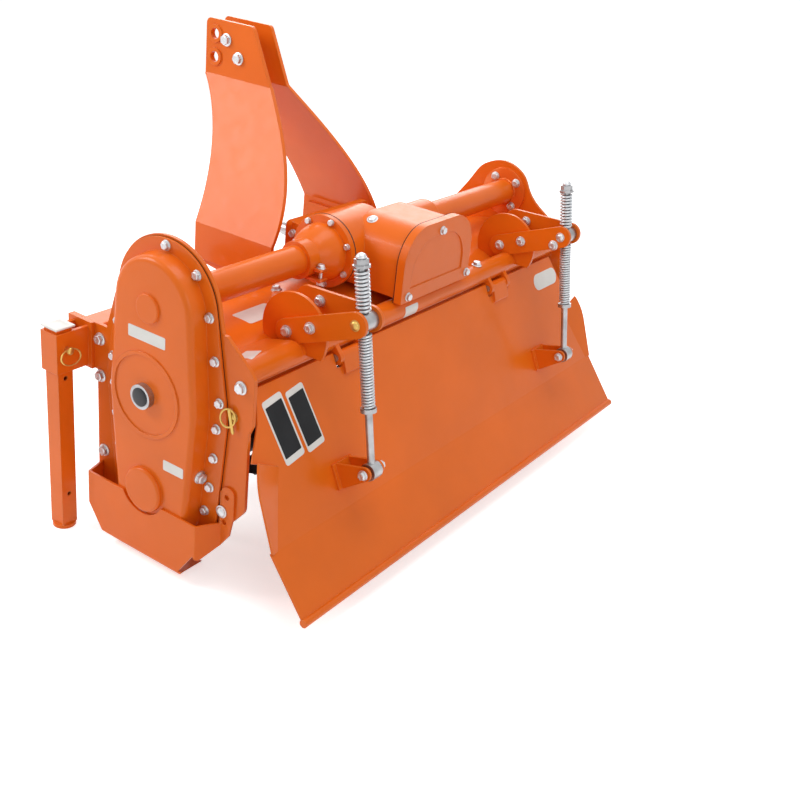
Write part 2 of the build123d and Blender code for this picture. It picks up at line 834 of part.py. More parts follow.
with BuildPart() as tail_board:
    with BuildSketch(station(-board_half_low)):
        with BuildLine():
            sheet_line = Polyline(*board_points)
            offset(sheet_line, amount=board_t / 2, side=Side.BOTH)
        make_face()
    extrude(amount=2 * board_half_low)
    extrude(board_outline.sketch, amount=rear_reach + hem_r, mode=Mode.INTERSECT)
    for wing in wings.solids():
        side = 1 if wing.center().X > mid_x else -1
        root = on_board(side, root_top)
        fold = Axis(root, on_board(side, root_low) - root)
        add(wing.rotate(fold, side * wing_turn))
        tip = Vertex(*on_board(side, edge[0])).rotate(fold, side * wing_turn)
        ramp = [root, on_board(side, shoulder), Vector(tip.X, tip.Y, tip.Z)]
        ramp_plane = Plane(root, x_dir=ramp[1] - root, z_dir=(ramp[1] - root).cross(ramp[2] - root))
        with BuildSketch(ramp_plane):
            with BuildLine():
                Polyline(*[ramp_plane.to_local_coords(corner) for corner in ramp], close=True)
            make_face()
        extrude(amount=board_t / 2, both=True)
    with BuildSketch(station(-board_half_low)):
        with Locations((board_edge_y, board_edge_z)):
            Circle(hem_r)
    extrude(amount=2 * board_half_low)
    for centre in (-knuckle_x, knuckle_x):
        tab_end = Vector(hinge_y, hinge_z) + fall * hinge_tab + board_back * hinge_tab_r
        with BuildSketch(station(centre - knuckle_len / 2)):
            with Locations((hinge_y, hinge_z)):
                Circle(knuckle_r)
            with Locations((tab_end.X, tab_end.Y)):
                Circle(hinge_tab_r)
            make_hull()
        extrude(amount=knuckle_len)
        with BuildSketch(station(centre - knuckle_len / 2)):
            with Locations((hinge_y, hinge_z)):
                Circle(hinge_pin_r + running_gap)
        extrude(amount=knuckle_len, mode=Mode.SUBTRACT)
        for start in (centre - knuckle_len / 2 - notch_w, centre + knuckle_len / 2):
            with BuildSketch(station(start)):
                with Locations((hinge_y, hinge_z)):
                    Circle(hinge_lug_r + moving_gap)
            extrude(amount=notch_w, mode=Mode.SUBTRACT)
save(tail_board.part, "tail_board")

# Lugs on the tail board, each with the pin that a rod's eye hangs on
eye_from_hinge = Vector(eye_y - hinge_y, eye_z - hinge_z)
eye_along = eye_from_hinge.dot(fall)
foot = Vector(hinge_y, hinge_z) + fall * eye_along
rear_normal = (eye_from_hinge - fall * eye_along).normalized()
for side, name in ((-1, "rod_lug_left"), (1, "rod_lug_right")):
    with BuildPart() as rod_lug:
        near = foot + rear_normal * (board_t / 2)
        far = near + rear_normal * lug_base_t
        with BuildSketch(station(side * rod_x - lug_base_half_x)):
            with BuildLine():
                a = near - fall * lug_base_half_u
                b = near + fall * lug_base_half_u
                c = far + fall * lug_base_half_u
                d = far - fall * lug_base_half_u
                Polyline((a.X, a.Y), (b.X, b.Y), (c.X, c.Y), (d.X, d.Y), (a.X, a.Y))
            make_face()
        extrude(amount=2 * lug_base_half_x)
        for start in (side * rod_x - lug_half - lug_t, side * rod_x + lug_half):
            with BuildSketch(station(start)):
                with Locations((eye_y, eye_z)):
                    Circle(lug_tip_r)
                with BuildLine():
                    Polyline((a.X, a.Y), (b.X, b.Y), (c.X, c.Y), (d.X, d.Y), (a.X, a.Y))
                make_face()
                make_hull()
            extrude(amount=lug_t)
        with BuildSketch(station(side * rod_x - lug_half - lug_t - lug_pin_end)):
            with Locations((eye_y, eye_z)):
                Circle(rod_r)
        extrude(amount=2 * (lug_half + lug_t + lug_pin_end))
    save(rod_lug.part, name)

# Spring rods: eye, rod, collar, nut, with a trunnion that the rod slides through
rod_dir = Vector(pivot_y - eye_y, pivot_z - eye_z)
pivot_at = rod_dir.length
rod_dir = rod_dir.normalized()


def along_rod(side, distance):
    """Plane square to a rod, a distance up from its eye."""
    origin = (mid_x + side * rod_x, axis_y + eye_y + rod_dir.X * distance, eye_z + rod_dir.Y * distance)
    return Plane(origin=origin, x_dir=(1, 0, 0), z_dir=(0, rod_dir.X, rod_dir.Y))


eye_r = rod_r + eye_slack + eye_wall
low_spring_start = collar_at + collar_t
low_spring_end = pivot_at - trunnion_r
high_spring_start = pivot_at + trunnion_r
high_spring_end = high_spring_start + high_spring_len
rod_len = high_spring_end + washer_t + nut_t
for side, end in ((-1, "left"), (1, "right")):
    with BuildPart() as rod:
        with BuildSketch(along_rod(side, 0)):
            Circle(rod_r)
        extrude(amount=rod_len)
        with BuildSketch(station(side * rod_x - eye_half)):
            with Locations((eye_y, eye_z)):
                Circle(eye_r)
        extrude(amount=2 * eye_half)
        with BuildSketch(along_rod(side, collar_at)):
            Circle(collar_r)
        extrude(amount=collar_t)
        with BuildSketch(along_rod(side, high_spring_end)):
            Circle(washer_r)
        extrude(amount=washer_t)
        with BuildSketch(along_rod(side, high_spring_end + washer_t)):
            RegularPolygon(nut_r, 6)
        extrude(amount=nut_t - nut_run_out)
        with BuildSketch(station(side * rod_x - eye_half)):
            with Locations((eye_y, eye_z)):
                Circle(rod_r + eye_slack)
        extrude(amount=2 * eye_half, mode=Mode.SUBTRACT)
    save(rod.part, f"rod_{end}")

    with BuildPart() as trunnion:
        with BuildSketch(station(side * rod_x - trunnion_half)):
            with Locations((pivot_y, pivot_z)):
                Circle(trunnion_r)
        extrude(amount=2 * trunnion_half)
        with BuildSketch(station(side * rod_x - trunnion_half - arm_t)):
            with Locations((pivot_y, pivot_z)):
                Circle(trunnion_pin_r)
        extrude(amount=2 * (trunnion_half + arm_t))
        with BuildSketch(along_rod(side, pivot_at - 2 * trunnion_r)):
            Circle(rod_r + running_gap)
        extrude(amount=4 * trunnion_r, mode=Mode.SUBTRACT)
    save(trunnion.part, f"trunnion_{end}")

    spring_runs = (
        ("lower_spring", low_spring_r, low_spring_start, low_spring_end),
        ("upper_spring", high_spring_r, high_spring_start, high_spring_end),
    )
    for kind, outer_r, start, stop in spring_runs:
        with BuildPart() as spring:
            with BuildSketch(along_rod(side, start)):
                Circle(outer_r)
                Circle(outer_r - spring_wire, mode=Mode.SUBTRACT)
            extrude(amount=stop - start)
        save(spring.part, f"{kind}_{end}")

    with BuildPart() as arm:
        slim = [(rail_y + arm_root[0], rail_z + arm_root[1]), (pivot_y, pivot_z)]
        crowned = slim + [(rail_y + arm_crown[0], rail_z + arm_crown[1])]
        for start, places in (
            (side * rod_x - trunnion_half - drop_gap - arm_t, slim),
            (side * rod_x + trunnion_half + drop_gap, crowned),
        ):
            with BuildSketch(station(start)):
                with Locations(*places):
                    Circle(arm_r)
                make_hull()
                with Locations((pivot_y, pivot_z)):
                    Circle(trunnion_pin_r + running_gap, mode=Mode.SUBTRACT)
                with Locations((0, axis_z)):
                    Circle(hood_r, mode=Mode.SUBTRACT)
                with Locations((rail_y, rail_z)):
                    Circle(rail_r, mode=Mode.SUBTRACT)
            extrude(amount=arm_t)
    save(arm.part, f"arm_{end}")

    with BuildPart() as fan_bracket:
        with BuildSketch(station(side * rod_x - trunnion_half - drop_gap)):
            with Locations((rail_y + fan_place[0], rail_z + fan_place[1])):
                Circle(fan_r)
            with Locations((0, axis_z)):
                Circle(hood_r, mode=Mode.SUBTRACT)
            with Locations((rail_y, rail_z)):
                Circle(rail_r, mode=Mode.SUBTRACT)
            with Locations((rail_y + rail_r - fan_r, rail_z - fan_r)):
                Rectangle(2 * fan_r, 2 * fan_r, mode=Mode.SUBTRACT)
        extrude(amount=arm_t)
    save(fan_bracket.part, f"fan_bracket_{end}")

# Skids: one bent sheet makes the strap, the guard's face and its nose, with a turned-in sole welded below
for side, end in ((-1, "left"), (1, "right")):
    strap_x = side * (half_inside + plate_t + skid_t / 2)
    face_x = side * (skid_x - skid_t / 2)
    slant_x = side * (half_inside + sole_out)
    with BuildPart(mode=Mode.PRIVATE) as skid_sole:
        with BuildSketch(facing_rear(sole_front_y + skid_low_z)):
            with BuildLine():
                sole_line = Polyline(
                    (face_x, skid_low_z), (slant_x, skid_t / 2), (side * (half_inside - sole_in), skid_t / 2)
                )
                offset(sole_line, amount=skid_t / 2, side=Side.BOTH)
            make_face()
        extrude(amount=sole_front_y - sole_rear_y + 2 * skid_low_z)
        with BuildSketch(station(side * (half_inside - sole_in))):
            with BuildLine():
                Polyline(
                    (sole_rear_y, 0),
                    (sole_front_y, 0),
                    (sole_front_y + skid_low_z, skid_low_z),
                    (sole_front_y + skid_low_z, 2 * skid_low_z),
                    (sole_rear_y - skid_low_z, 2 * skid_low_z),
                    (sole_rear_y - skid_low_z, skid_low_z),
                    (sole_rear_y, 0),
                )
            make_face()
        extrude(amount=side * (skid_out + sole_in), mode=Mode.INTERSECT)
    with BuildPart() as skid:
        with BuildSketch(level(0)):
            with BuildLine():
                guard_line = Polyline(
                    (strap_x, skid_strap_end_y),
                    (strap_x, skid_strap_bend_y),
                    (face_x, skid_bend_rear_y),
                    (face_x, skid_bend_front_y),
                    (strap_x, skid_nose_y),
                )
                offset(guard_line, amount=skid_t / 2, side=Side.BOTH)
            make_face()
        extrude(amount=skid_strap[0][1])
        with BuildSketch(station(side * half_inside)) as skid_side:
            for corners in (skid_face, skid_strap, skid_nose):
                with BuildLine():
                    Polyline(*corners, corners[0])
                make_face()
            fillet(skid_side.vertices().group_by(Axis.Y)[-1], skid_strap_round)
            with Locations((scoop_y, scoop_z)):
                Circle(scoop_r, mode=Mode.SUBTRACT)
            with Locations(*skid_holes):
                Circle(skid_hole_r, mode=Mode.SUBTRACT)
        extrude(amount=side * skid_out, mode=Mode.INTERSECT)
        add(skid_sole.part)
    save(skid.part, f"skid_{end}")

# Parking stand
with BuildPart() as stand_bracket:
    with BuildSketch(level(sleeve_low_z)):
        with Locations((-leg_x, leg_y)):
            Rectangle(sleeve_out, sleeve_out)
            Rectangle(leg_size + 2 * sleeve_gap, leg_size + 2 * sleeve_gap, mode=Mode.SUBTRACT)
    extrude(amount=sleeve_high_z - sleeve_low_z)
    bracket_out = leg_x - sleeve_out / 2
    bracket_in = half_inside + plate_t
    with BuildSketch(level(ear_low_z)):
        with Locations((-bracket_in - stand_plate_t / 2, leg_y)):
            Rectangle(stand_plate_t, 2 * (ear_front_y - leg_y))
    extrude(amount=ear_high_z - ear_low_z)
    with BuildSketch(level(sleeve_low_z)):
        with Locations((-(bracket_out + bracket_in) / 2, leg_y - sleeve_out / 2 + stand_plate_t / 2)):
            Rectangle(bracket_out - bracket_in, stand_plate_t)
        with Locations((-(bracket_out + bracket_in) / 2, leg_y + sleeve_out / 2 - stand_plate_t / 2)):
            Rectangle(bracket_out - bracket_in, stand_plate_t)
    extrude(amount=sleeve_high_z - sleeve_low_z)
    with BuildSketch(facing_rear(leg_y)):
        with Locations((-leg_x, stand_pin_z)):
            Circle(stand_pin_r)
    extrude(amount=sleeve_out, mode=Mode.SUBTRACT)
save(stand_bracket.part, "stand_bracket")

with BuildPart() as stand_leg:
    with BuildSketch(level(0)):
        with Locations((-leg_x, leg_y)):
            Circle(leg_foot_r)
    extrude(amount=leg_foot_t)
    with BuildSketch(level(leg_foot_t)):
        with Locations((-leg_x, leg_y)):
            Rectangle(leg_size, leg_size)
            Rectangle(leg_size - 2 * leg_wall, leg_size - 2 * leg_wall, mode=Mode.SUBTRACT)
    extrude(amount=leg_top_z - leg_foot_t)
    with BuildSketch(level(leg_top_z - leg_cap_t)):
        with Locations((-leg_x, leg_y)):
            Rectangle(leg_size, leg_size)
    extrude(amount=leg_cap_t)
    with BuildSketch(facing_rear(leg_y)):
        with Locations(*[(-leg_x, z) for z in leg_holes]):
            Circle(leg_hole_r)
    extrude(amount=leg_size, mode=Mode.SUBTRACT)
save(stand_leg.part, "stand_leg")

with BuildPart() as stand_pin:
    pin_start = leg_y - leg_size / 2 - sleeve_gap
    with BuildSketch(facing_rear(pin_start)):
        with Locations((-leg_x, stand_pin_z)):
            Circle(stand_pin_r)
    extrude(amount=sleeve_wall + stand_pin_end)
save(stand_pin.part, "stand_pin")

# Tine: a strip bent sideways at its tip, cut to a swept-back outline
with BuildPart(mode=Mode.PRIVATE) as tine_shape:
    with BuildSketch(Plane(origin=(0, 0, 0), x_dir=(1, 0, 0), z_dir=(0, -1, 0))):
        with BuildLine():
            shank = Line((tine_t / 2, tine_root_r), (tine_t / 2, tine_bend_at))
            bend = JernArc(shank @ 1, (0, 1), tine_bend_r, -tine_bend_angle)
            Line(bend @ 1, bend @ 1 + (bend % 1) * tine_foot)
            offset(amount=tine_t / 2, side=Side.BOTH)
        make_face()
    extrude(amount=tip_r, both=True)
    with BuildSketch(Plane.YZ):
        with BuildLine():
            ThreePointArc(*tine_front_edge)
            Line(tine_front_edge[-1], tine_rear_edge[-1])
            ThreePointArc(*tine_rear_edge)
            Line(tine_rear_edge[0], tine_front_edge[0])
        make_face()
        Circle(tip_r, mode=Mode.INTERSECT)
    extrude(amount=tine_reach, mode=Mode.INTERSECT)
tine_left_hand = tine_shape.part.mirror(Plane.YZ)

# Rotor: shaft, discs and tines, all one welded reel
with BuildPart() as rotor:
    with BuildSketch(station(-half_inside + rotor_end_gap)):
        with Locations((0, axis_z)):
            Circle(shaft_r)
    extrude(amount=2 * (half_inside - rotor_end_gap))
    with BuildSketch(station(-half_inside - stub_depth)):
        with Locations((0, axis_z)):
            Circle(stub_r)
    extrude(amount=2 * (half_inside + stub_depth))
    right_places = []
    left_places = []
    for disc in range(disc_count):
        disc_x = (disc - (disc_count - 1) / 2) * disc_pitch
        with BuildSketch(station(disc_x - disc_t / 2)):
            with Locations((0, axis_z)):
                Circle(disc_r)
        extrude(amount=disc_t)
        for tine in range(tines_per_disc):
            turn = 360 / tines_per_disc * (tine + disc / disc_count)
            hand = 1 if tine % 2 else -1
            places = right_places if hand > 0 else left_places
            places.append(Location((mid_x + disc_x + hand * disc_t / 2, axis_y, axis_z), (turn, 0, 0)))
    with Locations(*right_places):
        add(tine_shape.part)
    with Locations(*left_places):
        add(tine_left_hand)
save(rotor.part, "rotor")
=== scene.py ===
"""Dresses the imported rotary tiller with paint, fasteners, springs, welds and blank labels, in a studio."""

import json
import math

import bpy
from bpy.props import FloatProperty, FloatVectorProperty, IntProperty, PointerProperty
from mathutils import Matrix, Vector


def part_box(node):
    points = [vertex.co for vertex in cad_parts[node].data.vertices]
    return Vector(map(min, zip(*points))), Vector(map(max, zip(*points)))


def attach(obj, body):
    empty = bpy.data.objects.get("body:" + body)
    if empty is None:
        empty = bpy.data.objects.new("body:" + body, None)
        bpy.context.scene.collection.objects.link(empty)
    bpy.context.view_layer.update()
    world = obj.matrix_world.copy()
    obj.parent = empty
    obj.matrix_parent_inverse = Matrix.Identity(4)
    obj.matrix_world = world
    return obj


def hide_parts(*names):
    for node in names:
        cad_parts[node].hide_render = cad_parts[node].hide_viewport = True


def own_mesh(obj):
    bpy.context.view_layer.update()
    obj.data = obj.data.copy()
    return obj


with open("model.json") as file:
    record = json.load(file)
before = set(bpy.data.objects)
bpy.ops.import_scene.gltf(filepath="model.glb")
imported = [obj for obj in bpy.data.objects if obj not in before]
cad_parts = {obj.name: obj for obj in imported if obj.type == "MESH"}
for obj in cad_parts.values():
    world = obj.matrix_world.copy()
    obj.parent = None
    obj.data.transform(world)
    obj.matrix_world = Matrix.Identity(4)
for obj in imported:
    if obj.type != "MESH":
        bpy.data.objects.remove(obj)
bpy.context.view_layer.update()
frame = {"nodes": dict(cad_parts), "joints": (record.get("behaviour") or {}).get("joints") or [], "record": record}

bl_info = {
    "name": "Rotary tiller dressing",
    "version": (1, 0, 0),
    "blender": (4, 5, 0),
    "location": "View3D > Sidebar > Tiller",
    "description": "Paint, fasteners, springs and studio for a packed rotary tiller",
    "category": "Object",
}

# The machine's datum: middle of its width, rotor axis, ground. Places below are in millimetres from it.
joints = {joint["name"]: joint for joint in frame["joints"]}
datum = Vector(joints["rotor_spin"]["pos_m"])
MM = 0.001

# Places read from the solids
COVER_FACE_X = -709.0
FLANGE_X = -669.0
LEFT_PLATE_X = -662.0
RIGHT_PLATE_X = 662.0
TUBE_Z = 577.0
AXIS_Z = 182.0
BELL_FACE_X = -172.0
BELL_BACK_X = -158.0
COVER_Y = -200.0
ROD_X = 430.0
ARM_OUT = 30.5
LUG_PIN_OUT = 29.0
EYE = Vector((-366.0, 263.0))
PIVOT = Vector((-312.0, 577.0))
LEFT = -1
RIGHT = 1
SIDES = ((LEFT, "left"), (RIGHT, "right"))


def spot(x, y, z):
    """A place on the machine, from its datum in millimetres, as a point of the frame in metres."""
    return Vector((datum.x + x * MM, datum.y + y * MM, z * MM))


class TillerPaint(bpy.types.PropertyGroup):
    """Colours of the finishes."""

    orange: FloatVectorProperty(
        name="Orange paint",
        description="Gloss paint of the frame",
        subtype="COLOR",
        size=3,
        min=0,
        max=1,
        default=(0.79, 0.145, 0.006),
    )
    zinc: FloatVectorProperty(
        name="Zinc",
        description="Plating of bolts and rods",
        subtype="COLOR",
        size=3,
        min=0,
        max=1,
        default=(0.45, 0.45, 0.46),
    )
    gold: FloatVectorProperty(
        name="Yellow zinc",
        description="Plating of the locking pins",
        subtype="COLOR",
        size=3,
        min=0,
        max=1,
        default=(0.72, 0.50, 0.20),
    )
    black: FloatVectorProperty(
        name="Black paint",
        description="Paint of the rotor",
        subtype="COLOR",
        size=3,
        min=0,
        max=1,
        default=(0.014, 0.014, 0.015),
    )
    # This film colour also serves the stand's cap as a painted highlight, and the two hood labels, partly as a
    # painted reflection
    label: FloatVectorProperty(
        name="Blank label",
        description="Film of the blank labels",
        subtype="COLOR",
        size=3,
        min=0,
        max=1,
        default=(0.78, 0.77, 0.73),
    )
    field: FloatVectorProperty(
        name="Label field",
        description="Dark field of the blank labels on the tail board",
        subtype="COLOR",
        size=3,
        min=0,
        max=1,
        default=(0.022, 0.023, 0.025),
    )


class TillerSizes(bpy.types.PropertyGroup):
    """Sizes of the small parts."""

    bolt_flat: FloatProperty(
        name="Bolt head",
        description="Radius of a common bolt head over its corners",
        unit="LENGTH",
        default=0.0086,
        min=0.004,
        max=0.03,
    )
    spring_wire: FloatProperty(
        name="Spring wire",
        description="Radius of the wire of the springs",
        unit="LENGTH",
        default=0.0025,
        min=0.001,
        max=0.005,
    )
    lower_turns: IntProperty(
        name="Lower turns",
        description="Turns of a lower spring",
        default=25,
        min=4,
        max=40,
    )
    upper_turns: IntProperty(
        name="Upper turns",
        description="Turns of an upper spring",
        default=11,
        min=3,
        max=30,
    )
    label_lift: FloatProperty(
        name="Label lift",
        description="Thickness of a label's film",
        unit="LENGTH",
        default=0.0006,
        min=0.0002,
        max=0.003,
    )


class TillerStudio(bpy.types.PropertyGroup):
    """Camera of the photograph, from the machine's datum."""

    place: FloatVectorProperty(
        name="Camera place",
        description="Where the camera stands, from the machine's datum",
        subtype="TRANSLATION",
        unit="LENGTH",
        size=3,
        default=(-2.0786, -1.4478, 1.4042),
    )
    yaw: FloatProperty(
        name="Yaw",
        description="Turn from straight ahead to the right",
        subtype="ANGLE",
        default=math.radians(57.928),
    )
    pitch: FloatProperty(
        name="Pitch",
        description="Tilt of the view, down below zero",
        subtype="ANGLE",
        default=math.radians(-26.269),
    )
    roll: FloatProperty(
        name="Roll",
        description="Turn of the picture about the view",
        subtype="ANGLE",
        default=math.radians(6.734),
    )
    lens: FloatProperty(
        name="Lens",
        description="Focal length",
        unit="CAMERA",
        default=49.754,
        min=10,
        max=300,
    )


# Shared shader effects


def new_group(name, inputs, outputs):
    """A shader node group with its named sockets, and its two end nodes."""
    group = bpy.data.node_groups.new(name, "ShaderNodeTree")
    for socket, kind, value in inputs:
        made = group.interface.new_socket(socket, in_out="INPUT", socket_type=kind)
        made.default_value = value
    for socket, kind in outputs:
        group.interface.new_socket(socket, in_out="OUTPUT", socket_type=kind)
    return group, group.nodes.new("NodeGroupInput"), group.nodes.new("NodeGroupOutput")


def feed(tree, value, socket):
    """Set a socket to a constant, or link another node's output to it."""
    if isinstance(value, bpy.types.NodeSocket):
        tree.links.new(value, socket)
    else:
        socket.default_value = value


def noise_node(tree, coordinate, scale, detail=4.0, roughness=0.5):
    """A noise texture on the given coordinate."""
    noise = tree.nodes.new("ShaderNodeTexNoise")
    feed(tree, scale, noise.inputs["Scale"])
    noise.inputs["Detail"].default_value = detail
    noise.inputs["Roughness"].default_value = roughness
    tree.links.new(coordinate, noise.inputs["Vector"])
    return noise


def spread_node(tree, value, low, high, start=0.3, stop=0.7):
    """Maps a value that runs from start to stop between two limits."""
    spread = tree.nodes.new("ShaderNodeMapRange")
    spread.inputs["From Min"].default_value = start
    spread.inputs["From Max"].default_value = stop
    feed(tree, low, spread.inputs["To Min"])
    feed(tree, high, spread.inputs["To Max"])
    tree.links.new(value, spread.inputs["Value"])
    return spread


def shade_node(tree, colour, factor):
    """Multiplies a colour by a value."""
    shade = tree.nodes.new("ShaderNodeMix")
    shade.data_type = "RGBA"
    shade.blend_type = "MULTIPLY"
    shade.inputs["Factor"].default_value = 1.0
    tree.links.new(colour, shade.inputs["A"])
    tree.links.new(factor, shade.inputs["B"])
    return shade


def make_mottle_group():
    """Slow change of tone, fine roughness and the ripple of a sprayed or plated skin."""
    group, given, out = new_group(
        "surface_mottle",
        [
            ("Vector", "NodeSocketVector", (0, 0, 0)),
            ("Colour", "NodeSocketColor", (1, 1, 1, 1)),
            ("Tone Low", "NodeSocketFloat", 0.9),
            ("Tone High", "NodeSocketFloat", 1.05),
            ("Patch Scale", "NodeSocketFloat", 6.0),
            ("Rough Low", "NodeSocketFloat", 0.25),
            ("Rough High", "NodeSocketFloat", 0.4),
            ("Ripple Scale", "NodeSocketFloat", 300.0),
        ],
        [("Colour", "NodeSocketColor"), ("Roughness", "NodeSocketFloat"), ("Height", "NodeSocketFloat")],
    )
    take = given.outputs
    patch = noise_node(group, take["Vector"], take["Patch Scale"])
    tone = spread_node(group, patch.outputs["Fac"], take["Tone Low"], take["Tone High"])
    shade = shade_node(group, take["Colour"], tone.outputs["Result"])
    scuff = noise_node(group, take["Vector"], 34.0, detail=6.0, roughness=0.6)
    rough = spread_node(group, scuff.outputs["Fac"], take["Rough Low"], take["Rough High"])
    ripple = noise_node(group, take["Vector"], take["Ripple Scale"], detail=2.0)
    group.links.new(shade.outputs["Result"], out.inputs["Colour"])
    group.links.new(rough.outputs["Result"], out.inputs["Roughness"])
    group.links.new(ripple.outputs["Fac"], out.inputs["Height"])
    return group


def make_edge_group():
    """Rounded edges: their normal, and a broken mask along them, for edge wear and, on the orange paint, a painted
    highlight.
    """
    group, given, out = new_group(
        "edge_wear_and_highlight",
        [
            ("Vector", "NodeSocketVector", (0, 0, 0)),
            ("Width", "NodeSocketFloat", 0.002),
            ("Break Scale", "NodeSocketFloat", 70.0),
        ],
        [("Mask", "NodeSocketFloat"), ("Normal", "NodeSocketVector")],
    )
    rounded = group.nodes.new("ShaderNodeBevel")
    rounded.samples = 4
    group.links.new(given.outputs["Width"], rounded.inputs["Radius"])
    flat = group.nodes.new("ShaderNodeNewGeometry")
    meet = group.nodes.new("ShaderNodeVectorMath")
    meet.operation = "DOT_PRODUCT"
    group.links.new(rounded.outputs["Normal"], meet.inputs[0])
    group.links.new(flat.outputs["Normal"], meet.inputs[1])
    turned = spread_node(group, meet.outputs["Value"], 1.0, 0.0, start=0.78, stop=0.995)
    take = given.outputs
    broken = noise_node(group, take["Vector"], take["Break Scale"], detail=5.0, roughness=0.6)
    kept = spread_node(group, broken.outputs["Fac"], 0.25, 1.0, start=0.38, stop=0.62)
    mask = group.nodes.new("ShaderNodeMath")
    mask.operation = "MULTIPLY"
    group.links.new(turned.outputs["Result"], mask.inputs[0])
    group.links.new(kept.outputs["Result"], mask.inputs[1])
    group.links.new(mask.outputs["Value"], out.inputs["Mask"])
    group.links.new(rounded.outputs["Normal"], out.inputs["Normal"])
    return group


# Skins: metallic, tone limits, roughness limits, scale, strength and depth of the ripple, patch scale
SKINS = {
    "orange_paint": (0.0, (0.93, 1.05), (0.28, 0.40), (240, 0.10, 0.0004), 5.0),
    "zinc_plate": (1.0, (0.72, 1.08), (0.26, 0.44), (420, 0.12, 0.0002), 40.0),
    "spring_steel": (1.0, (0.74, 1.04), (0.24, 0.38), (500, 0.10, 0.0002), 60.0),
    "yellow_zinc": (1.0, (0.72, 1.10), (0.22, 0.40), (420, 0.10, 0.0002), 60.0),
    "black_paint": (0.0, (0.70, 1.30), (0.34, 0.55), (180, 0.18, 0.0005), 18.0),
    "gasket_rubber": (0.0, (0.8, 1.2), (0.6, 0.8), (600, 0.2, 0.0003), 30.0),
    "bare_steel": (1.0, (0.75, 1.05), (0.25, 0.45), (350, 0.12, 0.0002), 30.0),
    "blank_label": (0.0, (0.94, 1.03), (0.30, 0.42), (300, 0.05, 0.0002), 20.0),
    "label_field": (0.0, (0.85, 1.15), (0.30, 0.42), (300, 0.05, 0.0002), 20.0),
}

# Edge wear, and on the orange paint a painted highlight along the edges: width in metres, colour laid on the edge,
# share of it that shows
# Pale orange on the paint's edges is partly wear and partly a painted highlight along them
PALE_ORANGE_WEAR_HIGHLIGHT = (0.92, 0.34, 0.10)
BRIGHT_STEEL = (0.72, 0.72, 0.72)
WORN_BLACK = (0.10, 0.10, 0.10)
EDGES = {
    "orange_paint": (0.0022, PALE_ORANGE_WEAR_HIGHLIGHT, 0.55),
    "zinc_plate": (0.0006, BRIGHT_STEEL, 0.6),
    "bare_steel": (0.0006, BRIGHT_STEEL, 0.6),
    "black_paint": (0.0014, WORN_BLACK, 0.6),
}

# Clear coat and gloss, where they differ from the common ones
COATS = {"orange_paint": 0.14, "blank_label": 0.2}
COAT_ROUGHNESS = 0.1
GLOSS = {"black_paint": 0.12, "gasket_rubber": 0.1, "label_field": 0.12}
COMMON_GLOSS = 0.21
RUBBER = (0.012, 0.012, 0.012)
STEEL = (0.52, 0.52, 0.52)


def make_finish(name, colour):
    """A procedural material on Object coordinates: mottled colour and gloss, rippled skin, edges lightened by wear
    and, on the orange paint, by a painted highlight.
    """
    metallic, tone, rough, ripple, patch = SKINS[name]
    material = bpy.data.materials.new(name)
    material.use_nodes = True
    tree = material.node_tree
    shader = tree.nodes["Principled BSDF"]
    place = tree.nodes.new("ShaderNodeTexCoord")
    mottle = tree.nodes.new("ShaderNodeGroup")
    mottle.node_tree = bpy.data.node_groups["surface_mottle"]
    tree.links.new(place.outputs["Object"], mottle.inputs["Vector"])
    mottle.inputs["Colour"].default_value = (*colour, 1.0)
    mottle.inputs["Tone Low"].default_value = tone[0]
    mottle.inputs["Tone High"].default_value = tone[1]
    mottle.inputs["Patch Scale"].default_value = patch
    mottle.inputs["Rough Low"].default_value = rough[0]
    mottle.inputs["Rough High"].default_value = rough[1]
    mottle.inputs["Ripple Scale"].default_value = ripple[0]
    bump = tree.nodes.new("ShaderNodeBump")
    bump.inputs["Strength"].default_value = ripple[1]
    bump.inputs["Distance"].default_value = ripple[2]
    tree.links.new(mottle.outputs["Height"], bump.inputs["Height"])
    skin = mottle.outputs["Colour"]
    # Edges take a lighter colour: wear, and on the orange paint a painted highlight
    if name in EDGES:
        width, under, shown = EDGES[name]
        wear_highlight_node = tree.nodes.new("ShaderNodeGroup")
        wear_highlight_node.node_tree = bpy.data.node_groups["edge_wear_and_highlight"]
        wear_highlight_node.inputs["Width"].default_value = width
        tree.links.new(place.outputs["Object"], wear_highlight_node.inputs["Vector"])
        tree.links.new(wear_highlight_node.outputs["Normal"], bump.inputs["Normal"])
        share = tree.nodes.new("ShaderNodeMath")
        share.operation = "MULTIPLY"
        share.inputs[1].default_value = shown
        tree.links.new(wear_highlight_node.outputs["Mask"], share.inputs[0])
        wear_highlight_mix = tree.nodes.new("ShaderNodeMix")
        wear_highlight_mix.data_type = "RGBA"
        wear_highlight_mix.inputs["B"].default_value = (*under, 1.0)
        tree.links.new(share.outputs["Value"], wear_highlight_mix.inputs["Factor"])
        tree.links.new(skin, wear_highlight_mix.inputs["A"])
        skin = wear_highlight_mix.outputs["Result"]
    tree.links.new(skin, shader.inputs["Base Color"])
    tree.links.new(mottle.outputs["Roughness"], shader.inputs["Roughness"])
    tree.links.new(bump.outputs["Normal"], shader.inputs["Normal"])
    shader.inputs["Metallic"].default_value = metallic
    shader.inputs["Specular IOR Level"].default_value = GLOSS.get(name, COMMON_GLOSS)
    shader.inputs["Coat Weight"].default_value = COATS.get(name, 0.0)
    shader.inputs["Coat Roughness"].default_value = COAT_ROUGHNESS
    return material


